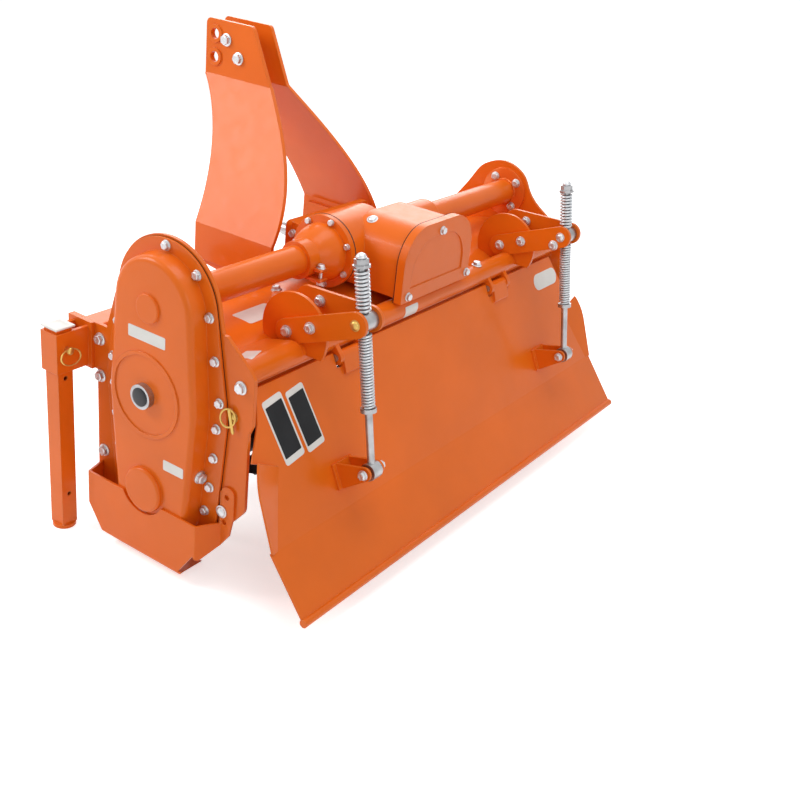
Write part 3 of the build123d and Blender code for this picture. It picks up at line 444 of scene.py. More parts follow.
class TILLER_OT_finishes(bpy.types.Operator):
    """Make the finishes and put them on the solids"""

    bl_idname = "tiller.finishes"
    bl_label = "Finishes"

    def execute(self, context):
        paint = context.scene.tiller_paint
        make_mottle_group()
        make_edge_group()
        colours = {
            "orange_paint": paint.orange,
            "zinc_plate": paint.zinc,
            "spring_steel": paint.zinc,
            "yellow_zinc": paint.gold,
            "black_paint": paint.black,
            "gasket_rubber": RUBBER,
            "bare_steel": STEEL,
            "blank_label": paint.label,
            "label_field": paint.field,
        }
        made = {name: make_finish(name, colour) for name, colour in colours.items()}
        for row in frame["record"]["subparts"]:
            node = frame["nodes"][row["node"]]
            node.data.materials.clear()
            node.data.materials.append(made[row["material_slot"]])
        return {"FINISHED"}


# Modelling helpers


def start_clean():
    """Leave edit mode and drop the selection."""
    if bpy.context.object and bpy.context.object.mode != "OBJECT":
        bpy.ops.object.mode_set(mode="OBJECT")
    bpy.ops.object.select_all(action="DESELECT")


def select_faces(obj, keep):
    """Enter edit mode on an object with the faces selected that keep() picks."""
    bpy.ops.object.mode_set(mode="OBJECT")
    for face in obj.data.polygons:
        face.select = keep(face)
    for edge in obj.data.edges:
        edge.select = False
    for vertex in obj.data.vertices:
        vertex.select = False
    for face in obj.data.polygons:
        if face.select:
            for index in face.vertices:
                obj.data.vertices[index].select = True
    bpy.ops.object.mode_set(mode="EDIT")
    bpy.ops.mesh.select_mode(type="FACE")


def join_all(objects, name):
    """Join objects into one, with its place in its mesh."""
    start_clean()
    for obj in objects:
        obj.select_set(True)
    bpy.context.view_layer.objects.active = objects[0]
    if len(objects) > 1:
        bpy.ops.object.join()
    bpy.ops.object.transform_apply(location=True, rotation=True, scale=True)
    joined = bpy.context.object
    joined.name = name
    joined.data.name = name
    return joined


def finish_piece(obj, body, finish, smooth=35):
    """Give a piece its finish, its shading and the body that it rides on."""
    start_clean()
    obj.select_set(True)
    bpy.context.view_layer.objects.active = obj
    bpy.ops.object.shade_smooth_by_angle(angle=math.radians(smooth))
    obj.data.materials.clear()
    obj.data.materials.append(bpy.data.materials[finish])
    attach(obj, body)
    start_clean()


def model_bolt(radius, washer):
    """One hex bolt head standing on its washer, at the origin and looking up."""
    start_clean()
    head_h = radius * 0.72
    washer_h = radius * 0.22
    bpy.ops.mesh.primitive_cylinder_add(
        vertices=6, radius=radius, depth=head_h, location=(0, 0, washer_h + head_h / 2)
    )
    head = bpy.context.object
    select_faces(head, lambda face: face.normal.z > 0.9)
    bpy.ops.mesh.inset(thickness=radius * 0.16, depth=radius * 0.12)
    bpy.ops.mesh.inset(thickness=radius * 0.30, depth=0)
    bpy.ops.mesh.inset(thickness=radius * 0.05, depth=-radius * 0.05)
    bpy.ops.object.mode_set(mode="OBJECT")
    bpy.ops.mesh.primitive_cylinder_add(
        vertices=20, radius=radius * washer, depth=washer_h, location=(0, 0, washer_h / 2)
    )
    ring = bpy.context.object
    select_faces(ring, lambda face: face.normal.z > 0.9)
    bpy.ops.mesh.inset(thickness=radius * 0.08, depth=radius * 0.05)
    bpy.ops.object.mode_set(mode="OBJECT")
    return join_all([head, ring], "bolt_pattern")


def turn_to(obj, point, look, spin=0.0):
    """Stand an object, modelled upright at the origin, on a point and look along a direction."""
    turn = look.to_track_quat("Z", "Y").to_matrix().to_4x4() @ Matrix.Rotation(spin, 4, "Z")
    obj.matrix_world = Matrix.Translation(point) @ turn


def place_copies(pattern, places, name):
    """Copies of a pattern, each with its own mesh, standing on points and looking along directions."""
    copies = []
    for index, (point, look) in enumerate(places):
        copy = pattern.copy()
        copy.data = pattern.data.copy()
        bpy.context.scene.collection.objects.link(copy)
        turn_to(copy, point, look, index * 0.7)
        copies.append(copy)
    bpy.data.objects.remove(pattern)
    return join_all(copies, name)


def model_dome(radius, height, washer):
    """A round head: the upper half of a ball on a bevelled washer, at the origin and looking up."""
    start_clean()
    bpy.ops.mesh.primitive_uv_sphere_add(segments=24, ring_count=16, radius=radius, location=(0, 0, 0))
    dome = bpy.context.object
    bpy.ops.object.mode_set(mode="EDIT")
    bpy.ops.mesh.select_all(action="SELECT")
    bpy.ops.mesh.bisect(plane_co=(0, 0, 0), plane_no=(0, 0, 1), use_fill=True, clear_inner=True)
    bpy.ops.object.mode_set(mode="OBJECT")
    dome.scale = (1, 1, height / radius)
    dome.location = (0, 0, radius * 0.2)
    ring = model_ring(radius * washer, radius * 0.5, radius * 0.2)
    return join_all([dome, ring], "dome_pattern")


def model_ring(outer, inner, depth):
    """A flat ring with its bore, standing on the origin, its outer edges bevelled."""
    start_clean()
    bpy.ops.mesh.primitive_cylinder_add(vertices=40, radius=outer, depth=depth, location=(0, 0, depth / 2))
    ring = bpy.context.object
    bpy.ops.object.transform_apply(location=True, rotation=True, scale=True)
    select_faces(ring, lambda face: abs(face.normal.z) > 0.9)
    edge = min(depth * 0.25, (outer - inner) * 0.3)
    bpy.ops.mesh.inset(thickness=edge, depth=depth * 0.1)
    bpy.ops.mesh.inset(thickness=outer - inner - edge, depth=0)
    bpy.ops.mesh.bridge_edge_loops()
    bpy.ops.mesh.select_all(action="SELECT")
    bpy.ops.mesh.normals_make_consistent(inside=False)
    bpy.ops.object.mode_set(mode="OBJECT")
    return ring


def row_x(x, look, points):
    """Places on an upright face across the machine."""
    return [(spot(x, y, z), Vector((look, 0, 0))) for y, z in points]


def ring_x(x, look, centre, radius, count, first=0.0):
    """Places in a ring about an axis across the machine."""
    turns = [first + 2 * math.pi * step / count for step in range(count)]
    points = [(centre[0] + radius * math.cos(turn), centre[1] + radius * math.sin(turn)) for turn in turns]
    return row_x(x, look, points)


def both_sides(x, points):
    """Places on the outer faces of a pair of plates, left and right."""
    return row_x(-x, LEFT, points) + row_x(x, RIGHT, points)


# Bolt sets: head as a share of the common bolt's, washer as a share of the head
BOLT_SETS = {
    "gear_case_bolts": (1.0, 1.25),
    "left_plate_bolts": (1.25, 1.3),
    "right_plate_bolts": (1.1, 1.3),
    "bell_bolts": (0.86, 1.0),
    "gearbox_bolts": (1.0, 1.2),
    "nose_bolts": (0.7, 1.0),
    "mast_bolts": (1.4, 1.25),
    "mast_foot_bolts": (1.0, 1.2),
    "arm_bolts": (1.15, 1.3),
    "lug_bolts": (1.05, 1.25),
}

# Round heads: radius and height in metres, washer as a share of the radius
FILLER_PLUG = (0.010, 0.006, 1.3)
PIVOT_CAP = (0.0095, 0.005, 1.25)
SKID_BOLT = (0.011, 0.007, 1.25)
SIGHT_GLASS = (0.0190, 0.0025, 1.03)
LINCH_STUB = (0.0085, 0.006, 1.4)
STAND_KNOB = (0.0075, 0.004, 1.2)
ROD_CAP = (0.0105, 0.008, 1.05)

# Small parts that sit alone: place, and the way they look
SEATS = {
    "ear_bolt": ((-148, 106, 586), (-1, 0, 0)),
    "filler_plug": ((-76, -63, 650), (-0.43, 0, 0.9)),
    "bell_gasket": ((BELL_BACK_X, 0, TUBE_Z), (1, 0, 0)),
    "hood_bolt_right": ((249, -168, 495.5), (0, 0, 1)),
    "hood_bolt_left": ((-254, 59, 486), (0, 0.19, 0.98)),
    "level_plug": ((-678, -123, 249), (-0.1, -0.99, -0.08)),
    "linch_stub": ((-662, -191, 405), (-1, 0, 0)),
    "linch_shaft": ((-670, -192, 398), (0, 0.25, 0.97)),
    "linch_loop": ((-672.5, -186, 404), (-0.94, -0.30, 0.12)),
    "stand_loop": ((-724.5, 197, 416), (0, -0.97, 0.25)),
    "stand_knob": ((-726, 197, 430), (0, -1, 0)),
    "left_tube_weld": ((-654, 0, TUBE_Z), (1, 0, 0)),
    "right_tube_weld": ((648, 0, TUBE_Z), (1, 0, 0)),
    "collar_weld": ((246, 0, TUBE_Z), (1, 0, 0)),
    "right_tube_flange": ((654, 0, TUBE_Z), (-1, 0, 0)),
    "clamp_head": ((-240, -52, 567.5), (0, 0, 1)),
    "clamp_nut": ((-240, -52, 537.5), (0, 0, -1)),
}


def seat_of(name):
    """Place and direction of a small part."""
    point, look = SEATS[name]
    return spot(*point), Vector(look)


def set_bolts(name, places, body="frame"):
    """A set of zinc plated bolts on their places, as one piece that rides on a body."""
    head, washer = BOLT_SETS[name]
    pattern = model_bolt(bpy.context.scene.tiller_sizes.bolt_flat * head, washer)
    finish_piece(place_copies(pattern, places, name), body, "zinc_plate")


def set_heads(name, head, places, body="frame", finish="zinc_plate"):
    """Round heads on their places, as one piece that rides on a body."""
    finish_piece(place_copies(model_dome(*head), places, name), body, finish)


# Bolts on upright faces: places from the rotor's axis and from the ground
CASE_REAR_BOLTS = [
    (-94, 666),
    (-129, 592),
    (-146, 508),
    (-161, 425),
    (-156, 367),
    (-151, 300),
    (-143, 230),
    (-132, 171),
]
CASE_MIRROR_Y = -28
CASE_TOP_BOLTS = [(-14, 702), (89, 617)]
LEFT_PLATE_BOLTS = [(-208, 473), (180, 444), (179, 361), (171, 186)]
RIGHT_PLATE_BOLTS = [(-208, 380), (232, 400), (232, 450), (0, 640)]
HOUSING_FACE_X = RIGHT_PLATE_X + 34
HOUSING_BOLT_R = 55
HOUSING_BOLTS = 6
TUBE_FLANGE_X = RIGHT_PLATE_X - 14
TUBE_BOLT_R = 48
TUBE_BOLTS = 4
TUBE_BOLT_FIRST = 0.86


class TILLER_OT_case_bolts(bpy.types.Operator):
    """Bolts round the gear case and on the side plates"""

    bl_idname = "tiller.case_bolts"
    bl_label = "Gear case bolts"

    def execute(self, context):
        front = [(CASE_MIRROR_Y - y, z) for y, z in CASE_REAR_BOLTS[2:]]
        set_bolts("gear_case_bolts", row_x(FLANGE_X, LEFT, CASE_REAR_BOLTS + front + CASE_TOP_BOLTS))
        set_bolts("left_plate_bolts", row_x(LEFT_PLATE_X, LEFT, LEFT_PLATE_BOLTS))
        places = ring_x(HOUSING_FACE_X, RIGHT, (0, AXIS_Z), HOUSING_BOLT_R, HOUSING_BOLTS)
        places += ring_x(TUBE_FLANGE_X, LEFT, (0, TUBE_Z), TUBE_BOLT_R, TUBE_BOLTS, TUBE_BOLT_FIRST)
        places += row_x(RIGHT_PLATE_X, RIGHT, RIGHT_PLATE_BOLTS)
        set_bolts("right_plate_bolts", places)
        return {"FINISHED"}


BELL_BOLT_R = 75.5
BELL_BOLTS = 7
BELL_FIRST = math.radians(54)
COVER_BOLTS = [(8, 645), (-107, 512), (140, 514)]
FRONT_PLATE_Y = 128
FRONT_PLATE_BOLTS = [(-118, 522), (-118, 595), (118, 522), (118, 595)]
NOSE_Z = 530
NOSE_Y = 176
NOSE_BOLT_R = 42
NOSE_BOLTS = 6
# Outer radius, bore and depth in metres
BELL_GASKET = (0.0846, 0.081, 0.0024)


class TILLER_OT_gearbox_bolts(bpy.types.Operator):
    """Bolts of the gearbox, on its bell, rear cover, front plate and nose, its filler plug and its gasket"""

    bl_idname = "tiller.gearbox_bolts"
    bl_label = "Gearbox bolts"

    def execute(self, context):
        back = Vector((0, -1, 0))
        ahead = Vector((0, 1, 0))
        set_bolts("bell_bolts", ring_x(BELL_FACE_X, LEFT, (0, TUBE_Z), BELL_BOLT_R, BELL_BOLTS, BELL_FIRST))
        places = [(spot(x, COVER_Y, z), back) for x, z in COVER_BOLTS]
        places += [(spot(x, FRONT_PLATE_Y, z), ahead) for x, z in FRONT_PLATE_BOLTS]
        places.append(seat_of("ear_bolt"))
        set_bolts("gearbox_bolts", places)
        places = []
        for step in range(NOSE_BOLTS):
            turn = 2 * math.pi * (step + 0.5) / NOSE_BOLTS
            out = NOSE_BOLT_R * math.cos(turn)
            rise = NOSE_BOLT_R * math.sin(turn)
            places.append((spot(out, NOSE_Y, NOSE_Z + rise), ahead))
        set_bolts("nose_bolts", places)
        set_heads("filler_plug", FILLER_PLUG, [seat_of("filler_plug")])
        gasket = place_copies(model_ring(*BELL_GASKET), [seat_of("bell_gasket")], "bell_gasket")
        finish_piece(gasket, "frame", "gasket_rubber")
        return {"FINISHED"}


MAST_PLATE = 10
MAST_HEAD_BOLTS = [(437, 957), (397, 920)]
MAST_FOOT_X = 210
MAST_FOOT_BOLTS = [(172, 486), (212, 486)]
ARM_BOLTS = [(-145, 511), (-204, 537)]
ARM_PLATE = 8
FAN_BOLT = (-184, 575)
RIGHT_ARM_BOLT = (-297, 552)
PIVOT_CAP_OUT = ARM_OUT - 1
PIVOT_FINISH = {LEFT: "yellow_zinc", RIGHT: "zinc_plate"}
SKID_X = 667
SKID_BOLT_AT = (-175, 186)


class TILLER_OT_mast_bolts(bpy.types.Operator):
    """Bolts of the mast, the hood, the rod arms, the rod lugs and the skids"""

    bl_idname = "tiller.mast_bolts"
    bl_label = "Mast and arm bolts"

    def execute(self, context):
        head_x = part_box("mast_spacers")[1].x / MM - datum.x / MM + MAST_PLATE
        set_bolts("mast_bolts", both_sides(head_x, MAST_HEAD_BOLTS))
        set_bolts("mast_foot_bolts", both_sides(MAST_FOOT_X, MAST_FOOT_BOLTS))
        places = []
        for side in (LEFT, RIGHT):
            places += row_x(side * ROD_X - ARM_OUT, LEFT, ARM_BOLTS)
            places += row_x(side * ROD_X + ARM_OUT, RIGHT, [*ARM_BOLTS, FAN_BOLT])
            places += row_x(side * ROD_X + ARM_OUT - ARM_PLATE, LEFT, [FAN_BOLT])
        places += [seat_of("hood_bolt_right"), seat_of("hood_bolt_left")]
        places += row_x(ROD_X - ARM_OUT, LEFT, [RIGHT_ARM_BOLT])
        set_bolts("arm_bolts", places)
        for side, end in SIDES:
            places = row_x(side * ROD_X - PIVOT_CAP_OUT, LEFT, [PIVOT])
            places += row_x(side * ROD_X + PIVOT_CAP_OUT, RIGHT, [PIVOT])
            set_heads(f"pivot_caps_{end}", PIVOT_CAP, places, f"trunnion_{end}", PIVOT_FINISH[side])
        places = []
        for side in (LEFT, RIGHT):
            for look in (LEFT, RIGHT):
                places += row_x(side * ROD_X + look * LUG_PIN_OUT, look, [EYE])
        set_bolts("lug_bolts", places, "tail")
        set_heads("skid_bolts", SKID_BOLT, both_sides(SKID_X, [SKID_BOLT_AT]))
        return {"FINISHED"}


def model_loop(radius, wire, segments, stretch):
    """A ring of round wire at the origin, stretched to an oval."""
    start_clean()
    bpy.ops.mesh.primitive_torus_add(
        major_radius=radius, minor_radius=wire, major_segments=segments, minor_segments=8, location=(0, 0, 0)
    )
    loop = bpy.context.object
    loop.scale = stretch
    bpy.ops.object.transform_apply(location=True, rotation=True, scale=True)
    return loop


def model_linch_shaft(radius, length):
    """The shaft of a linch pin at the origin, its foot tapered and its head drawn out."""
    start_clean()
    bpy.ops.mesh.primitive_cylinder_add(vertices=16, radius=radius, depth=length)
    shaft = bpy.context.object
    select_faces(shaft, lambda face: face.normal.z < -0.9)
    bpy.ops.mesh.inset(thickness=0.0016, depth=0.004)
    select_faces(shaft, lambda face: face.normal.z > 0.9)
    bpy.ops.mesh.extrude_region_move(TRANSFORM_OT_translate={"value": (0, 0, 0.004)})
    bpy.ops.object.mode_set(mode="OBJECT")
    return shaft


GLASS_SINK = 2.5
# Level plug: radius in metres, washer as a share of it
LEVEL_PLUG = (0.0115, 1.25)
# Linch shaft: radius and length in metres
LINCH_SHAFT = (0.0036, 0.044)
# Loops of the pins: radius and wire in metres, segments, stretch
LINCH_LOOP = (0.0155, 0.0018, 40, (1.0, 1.2, 1.0))
STAND_LOOP = (0.0225, 0.0019, 44, (1.08, 0.74, 1.0))


class TILLER_OT_plugs_and_pins(bpy.types.Operator):
    """Sight glass and level plug of the gear case, the linch pin and the ring of the stand's pin"""

    bl_idname = "tiller.plugs_and_pins"
    bl_label = "Plugs and pins"

    def execute(self, context):
        low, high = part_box("gear_case_plug")
        seat = Vector((low.x + GLASS_SINK * MM, (low.y + high.y) / 2, (low.z + high.z) / 2))
        set_heads("sight_glass", SIGHT_GLASS, [(seat, Vector((-1, 0, 0)))], "frame", "black_paint")
        plug = place_copies(model_bolt(*LEVEL_PLUG), [seat_of("level_plug")], "level_plug")
        finish_piece(plug, "frame", "zinc_plate")
        stub = place_copies(model_dome(*LINCH_STUB), [seat_of("linch_stub")], "linch_stub")
        shaft = model_linch_shaft(*LINCH_SHAFT)
        turn_to(shaft, *seat_of("linch_shaft"))
        loop = model_loop(*LINCH_LOOP)
        turn_to(loop, *seat_of("linch_loop"))
        pin = join_all([stub, shaft, loop], "linch_pin")
        finish_piece(pin, "frame", "yellow_zinc")
        loop = model_loop(*STAND_LOOP)
        turn_to(loop, *seat_of("stand_loop"))
        knob = place_copies(model_dome(*STAND_KNOB), [seat_of("stand_knob")], "stand_knob")
        ring = join_all([loop, knob], "stand_pin_ring")
        finish_piece(ring, "frame", "yellow_zinc")
        return {"FINISHED"}


def model_weld(radius, bead):
    """A ring of weld about a tube, uneven along its run, at the origin and looking up."""
    ring = model_loop(radius, bead, 84, (1, 1, 1))
    bpy.ops.object.mode_set(mode="EDIT")
    bpy.ops.mesh.select_all(action="SELECT")
    bpy.ops.transform.vertex_random(offset=bead * 0.3, uniform=0.2, normal=0.8, seed=4)
    bpy.ops.object.mode_set(mode="OBJECT")
    return ring


BEAD_STEP = 0.004


def model_bead(start, end, bead):
    """A straight run of weld between two points, uneven along its run and rounded at its ends."""
    start_clean()
    run = end - start
    bpy.ops.mesh.primitive_cylinder_add(vertices=8, radius=bead, depth=run.length, location=(0, 0, 0))
    weld = bpy.context.object
    select_faces(weld, lambda face: abs(face.normal.z) > 0.9)
    bpy.ops.mesh.inset(thickness=bead * 0.45, depth=bead * 0.5)
    select_faces(weld, lambda face: abs(face.normal.z) < 0.1)
    cuts = max(4, round(run.length / BEAD_STEP))
    bpy.ops.mesh.subdivide_edgering(number_cuts=cuts, interpolation="LINEAR")
    bpy.ops.mesh.select_all(action="SELECT")
    bpy.ops.transform.vertex_random(offset=bead * 0.35, uniform=0.2, normal=0.8, seed=7)
    bpy.ops.object.mode_set(mode="OBJECT")
    turn_to(weld, (start + end) / 2, run)
    return join_all([weld], "weld_run")


def model_block(centre, size, bevel):
    """A block with its edges rounded over."""
    start_clean()
    bpy.ops.mesh.primitive_cube_add(size=1, location=centre)
    block = bpy.context.object
    block.scale = size
    bpy.ops.object.transform_apply(location=True, rotation=True, scale=True)
    bpy.ops.object.mode_set(mode="EDIT")
    bpy.ops.mesh.select_all(action="SELECT")
    bpy.ops.mesh.bevel(offset=bevel, segments=2)
    bpy.ops.object.mode_set(mode="OBJECT")
    return block


# A strip in the gap under the rear rail, a painted shade that stands in for the dark inside of that gap
SHADE_STRIP_AT = (0, -176.7, 438)
SHADE_STRIP_SIZE = (1.296, 0.0035, 0.028)
SHADE_STRIP_BEVEL = 0.0008
SHADE_STRIP_DROP = (0, 0, -0.002)
CAP_SIZE = (0.049, 0.049, 0.004)
CAP_BEVEL = 0.0014


class TILLER_OT_shade_strip_and_cap(bpy.types.Operator):
    """A strip that fills the gap under the rear rail and stands in for the shade inside it, and the cap on top of
    the parking stand, whose pale colour is a painted highlight
    """

    bl_idname = "tiller.lip_and_cap"
    bl_label = "Lip and cap"

    def execute(self, context):
        # This strip stands in for the shade inside the gap under the rail
        strip = model_block(spot(*SHADE_STRIP_AT), SHADE_STRIP_SIZE, SHADE_STRIP_BEVEL)
        select_faces(strip, lambda face: face.normal.z < -0.9 and face.area > 0.001)
        bpy.ops.mesh.extrude_region_move(TRANSFORM_OT_translate={"value": SHADE_STRIP_DROP})
        bpy.ops.transform.resize(value=(1, 0.5, 1))
        bpy.ops.object.mode_set(mode="OBJECT")
        finish_piece(join_all([strip], "rail_gap_shade_strip"), "frame", "orange_paint")
        # The stand leg's cap: its pale film colour is a painted highlight on the leg's top face
        low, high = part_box("stand_leg")
        top = Vector(((low.x + high.x) / 2, (low.y + high.y) / 2, high.z + CAP_SIZE[2] / 2))
        cap = model_block(top, CAP_SIZE, CAP_BEVEL)
        select_faces(cap, lambda face: face.normal.z > 0.9 and face.area > 0.0005)
        bpy.ops.mesh.inset(thickness=0.005, depth=0)
        bpy.ops.mesh.inset(thickness=0.002, depth=-0.001)
        bpy.ops.object.mode_set(mode="OBJECT")
        finish_piece(join_all([cap], "stand_cap_and_highlight"), "stand", "blank_label")
        return {"FINISHED"}


WELD_SMOOTH = 60
# Welds round tubes: radius and bead in metres
TUBE_WELD = (0.0345, 0.0038)
COLLAR_WELD = (0.0345, 0.0035)
# Flange: outer radius, bore and depth in metres
TUBE_FLANGE = (0.066, 0.033, 0.006)
HITCH_PLATE = 10.0
HITCH_BEAD = 0.0034
BEAM_LOW = 403.0
BEAM_TALL = 54.0
BEAM_BEAD = 0.0032
CLAMP_X = -240
CLAMP_FACE_Y = -62
# Height and depth of the clamp's two ears
CLAMP_EARS = ((564, 26), (541, 42))
CLAMP_WIDE = 0.028
CLAMP_THICK = 0.007
CLAMP_BEVEL = 0.0018
CLAMP_WASHER = 1.2
CLAMP_STUD_AT = (-240, -52, 552.5)
CLAMP_STUD = 0.030


class TILLER_OT_welds(bpy.types.Operator):
    """Welds of the tubes and the beam, the flange of the right tube and the clamp on the left collar"""

    bl_idname = "tiller.welds"
    bl_label = "Welds and clamp"

    def execute(self, context):
        places = [seat_of("left_tube_weld"), seat_of("right_tube_weld")]
        welds = place_copies(model_weld(*TUBE_WELD), places, "tube_welds")
        finish_piece(welds, "frame", "orange_paint", WELD_SMOOTH)
        weld = place_copies(model_weld(*COLLAR_WELD), [seat_of("collar_weld")], "collar_weld")
        finish_piece(weld, "frame", "orange_paint", WELD_SMOOTH)
        flange = place_copies(model_ring(*TUBE_FLANGE), [seat_of("right_tube_flange")], "right_tube_flange")
        finish_piece(flange, "frame", "orange_paint")
        beads = []
        for node in ("hitch_left", "hitch_right"):
            low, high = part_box(node)
            for x in (low.x, low.x + HITCH_PLATE * MM, high.x - HITCH_PLATE * MM, high.x):
                foot = Vector((x, low.y, BEAM_LOW * MM))
                beads.append(model_bead(foot, foot + Vector((0, 0, BEAM_TALL * MM)), HITCH_BEAD))
        low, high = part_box("front_beam")
        outline = ((low.y, low.z), (high.y, low.z), (high.y, high.z), (low.y, high.z))
        for x in (low.x, high.x):
            corners = [Vector((x, y, z)) for y, z in outline]
            for step, corner in enumerate(corners):
                beads.append(model_bead(corner, corners[(step + 1) % 4], BEAM_BEAD))
        run = join_all(beads, "beam_welds")
        finish_piece(run, "frame", "orange_paint", WELD_SMOOTH)
        ears = []
        for z, depth in CLAMP_EARS:
            centre = spot(CLAMP_X, CLAMP_FACE_Y + depth / 2, z)
            ears.append(model_block(centre, (CLAMP_WIDE, depth * MM, CLAMP_THICK), CLAMP_BEVEL))
        clamp = join_all(ears, "collar_clamp")
        finish_piece(clamp, "frame", "orange_paint")
        size = context.scene.tiller_sizes.bolt_flat
        head = place_copies(model_bolt(size, CLAMP_WASHER), [seat_of("clamp_head")], "clamp_head")
        nut = place_copies(model_bolt(size, CLAMP_WASHER), [seat_of("clamp_nut")], "clamp_nut")
        bpy.ops.mesh.primitive_cylinder_add(
            vertices=16, radius=size * 0.5, depth=CLAMP_STUD, location=spot(*CLAMP_STUD_AT)
        )
        stud = bpy.context.object
        bolt = join_all([head, nut, stud], "clamp_bolt")
        finish_piece(bolt, "frame", "zinc_plate")
        return {"FINISHED"}


# Stations along a rod, in millimetres from the pin of the board's lug
ROD_LINE = (PIVOT - EYE).normalized()
ROD_DIR = Vector((0, ROD_LINE.x, ROD_LINE.y))
ROD_PIVOT_AT = (PIVOT - EYE).length
COLLAR_END = 139.0
TRUNNION_R = 20.0
NUT_START = 428.0
ROD_END = 446.5
# Coils: outer radius in metres, upper wire as a share of the lower
LOWER_COIL_R = 0.0145
UPPER_COIL_R = 0.0158
UPPER_WIRE = 1.2
STEPS_PER_TURN = 18


def along_rod(side, distance):
    """A point on the axis of a rod."""
    return spot(side * ROD_X, EYE.x + ROD_LINE.x * distance, EYE.y + ROD_LINE.y * distance)


def model_spring(name, side, start, stop, outer_r, wire_r, turns):
    """A coil spring about a rod, with its wire's ends closed."""
    start_clean()
    coil_r = outer_r - wire_r
    run = (stop - start) * MM - 2 * wire_r
    bpy.ops.mesh.primitive_circle_add(
        vertices=8, radius=wire_r, location=(coil_r, 0, wire_r), rotation=(math.pi / 2, 0, 0)
    )
    coil = bpy.context.object
    bpy.ops.object.transform_apply(location=True, rotation=True, scale=True)
    screw = coil.modifiers.new("turns", "SCREW")
    screw.axis = "Z"
    screw.angle = 2 * math.pi * turns
    screw.screw_offset = run
    screw.steps = turns * STEPS_PER_TURN
    screw.render_steps = turns * STEPS_PER_TURN
    bpy.ops.object.modifier_apply(modifier="turns")
    bpy.ops.object.mode_set(mode="EDIT")
    bpy.ops.mesh.select_all(action="SELECT")
    bpy.ops.mesh.fill_holes(sides=8)
    bpy.ops.mesh.select_all(action="SELECT")
    bpy.ops.mesh.normals_make_consistent(inside=False)
    bpy.ops.object.mode_set(mode="OBJECT")
    turn_to(coil, along_rod(side, start), ROD_DIR)
    return join_all([coil], name)


class TILLER_OT_springs(bpy.types.Operator):
    """Coil springs and domed caps on the rods of the tail board"""

    bl_idname = "tiller.springs"
    bl_label = "Springs"

    def execute(self, context):
        sizes = context.scene.tiller_sizes
        wire = sizes.spring_wire
        upper_wire = wire * UPPER_WIRE
        low_stop = ROD_PIVOT_AT - TRUNNION_R
        high_start = ROD_PIVOT_AT + TRUNNION_R
        for side, end in SIDES:
            body = f"trunnion_{end}"
            lower = model_spring(
                f"coil_lower_{end}", side, COLLAR_END, low_stop, LOWER_COIL_R, wire, sizes.lower_turns
            )
            finish_piece(lower, body, "spring_steel")
            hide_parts(f"lower_spring_{end}")
            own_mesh(lower)
            upper = model_spring(
                f"coil_upper_{end}", side, high_start, NUT_START, UPPER_COIL_R, upper_wire, sizes.upper_turns
            )
            finish_piece(upper, body, "spring_steel")
            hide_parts(f"upper_spring_{end}")
            set_heads(f"rod_cap_{end}", ROD_CAP, [(along_rod(side, ROD_END), ROD_DIR)], f"rod_{end}")
        return {"FINISHED"}


# How far off its face a label starts, before it is laid on
LABEL_START = 20


def model_label(name, centre, look, up, width, height, lift, round_share, on=None):
    """A blank film label with rounded corners, laid on a face."""
    start_clean()
    bpy.ops.mesh.primitive_plane_add(size=1)
    label = bpy.context.object
    look = look.normalized()
    up = (up - look * up.dot(look)).normalized()
    turn = Matrix((up.cross(look), up, look)).transposed().to_4x4()
    stand_off = look * MM * (LABEL_START if on else 0)
    size = Matrix.Diagonal((width, height, 1, 1))
    label.matrix_world = Matrix.Translation(centre + stand_off) @ turn @ size
    bpy.ops.object.transform_apply(location=True, rotation=True, scale=True)
    bpy.ops.object.mode_set(mode="EDIT")
    bpy.ops.mesh.select_all(action="SELECT")
    bpy.ops.mesh.bevel(offset=min(width, height) * round_share * 0.999, segments=8, affect="VERTICES")
    if on:
        bpy.ops.mesh.select_all(action="SELECT")
        bpy.ops.mesh.quads_convert_to_tris()
        bpy.ops.mesh.subdivide(number_cuts=6)
    bpy.ops.object.mode_set(mode="OBJECT")
    if on:
        wrap = label.modifiers.new("wrap", "SHRINKWRAP")
        wrap.target = frame["nodes"][on]
        wrap.wrap_method = "PROJECT"
        wrap.use_negative_direction = True
        wrap.use_positive_direction = False
        bpy.ops.object.modifier_apply(modifier="wrap")
    film = label.modifiers.new("film", "SOLIDIFY")
    film.thickness = lift
    film.offset = 1.0
    bpy.ops.object.modifier_apply(modifier="film")
    return join_all([label], name)


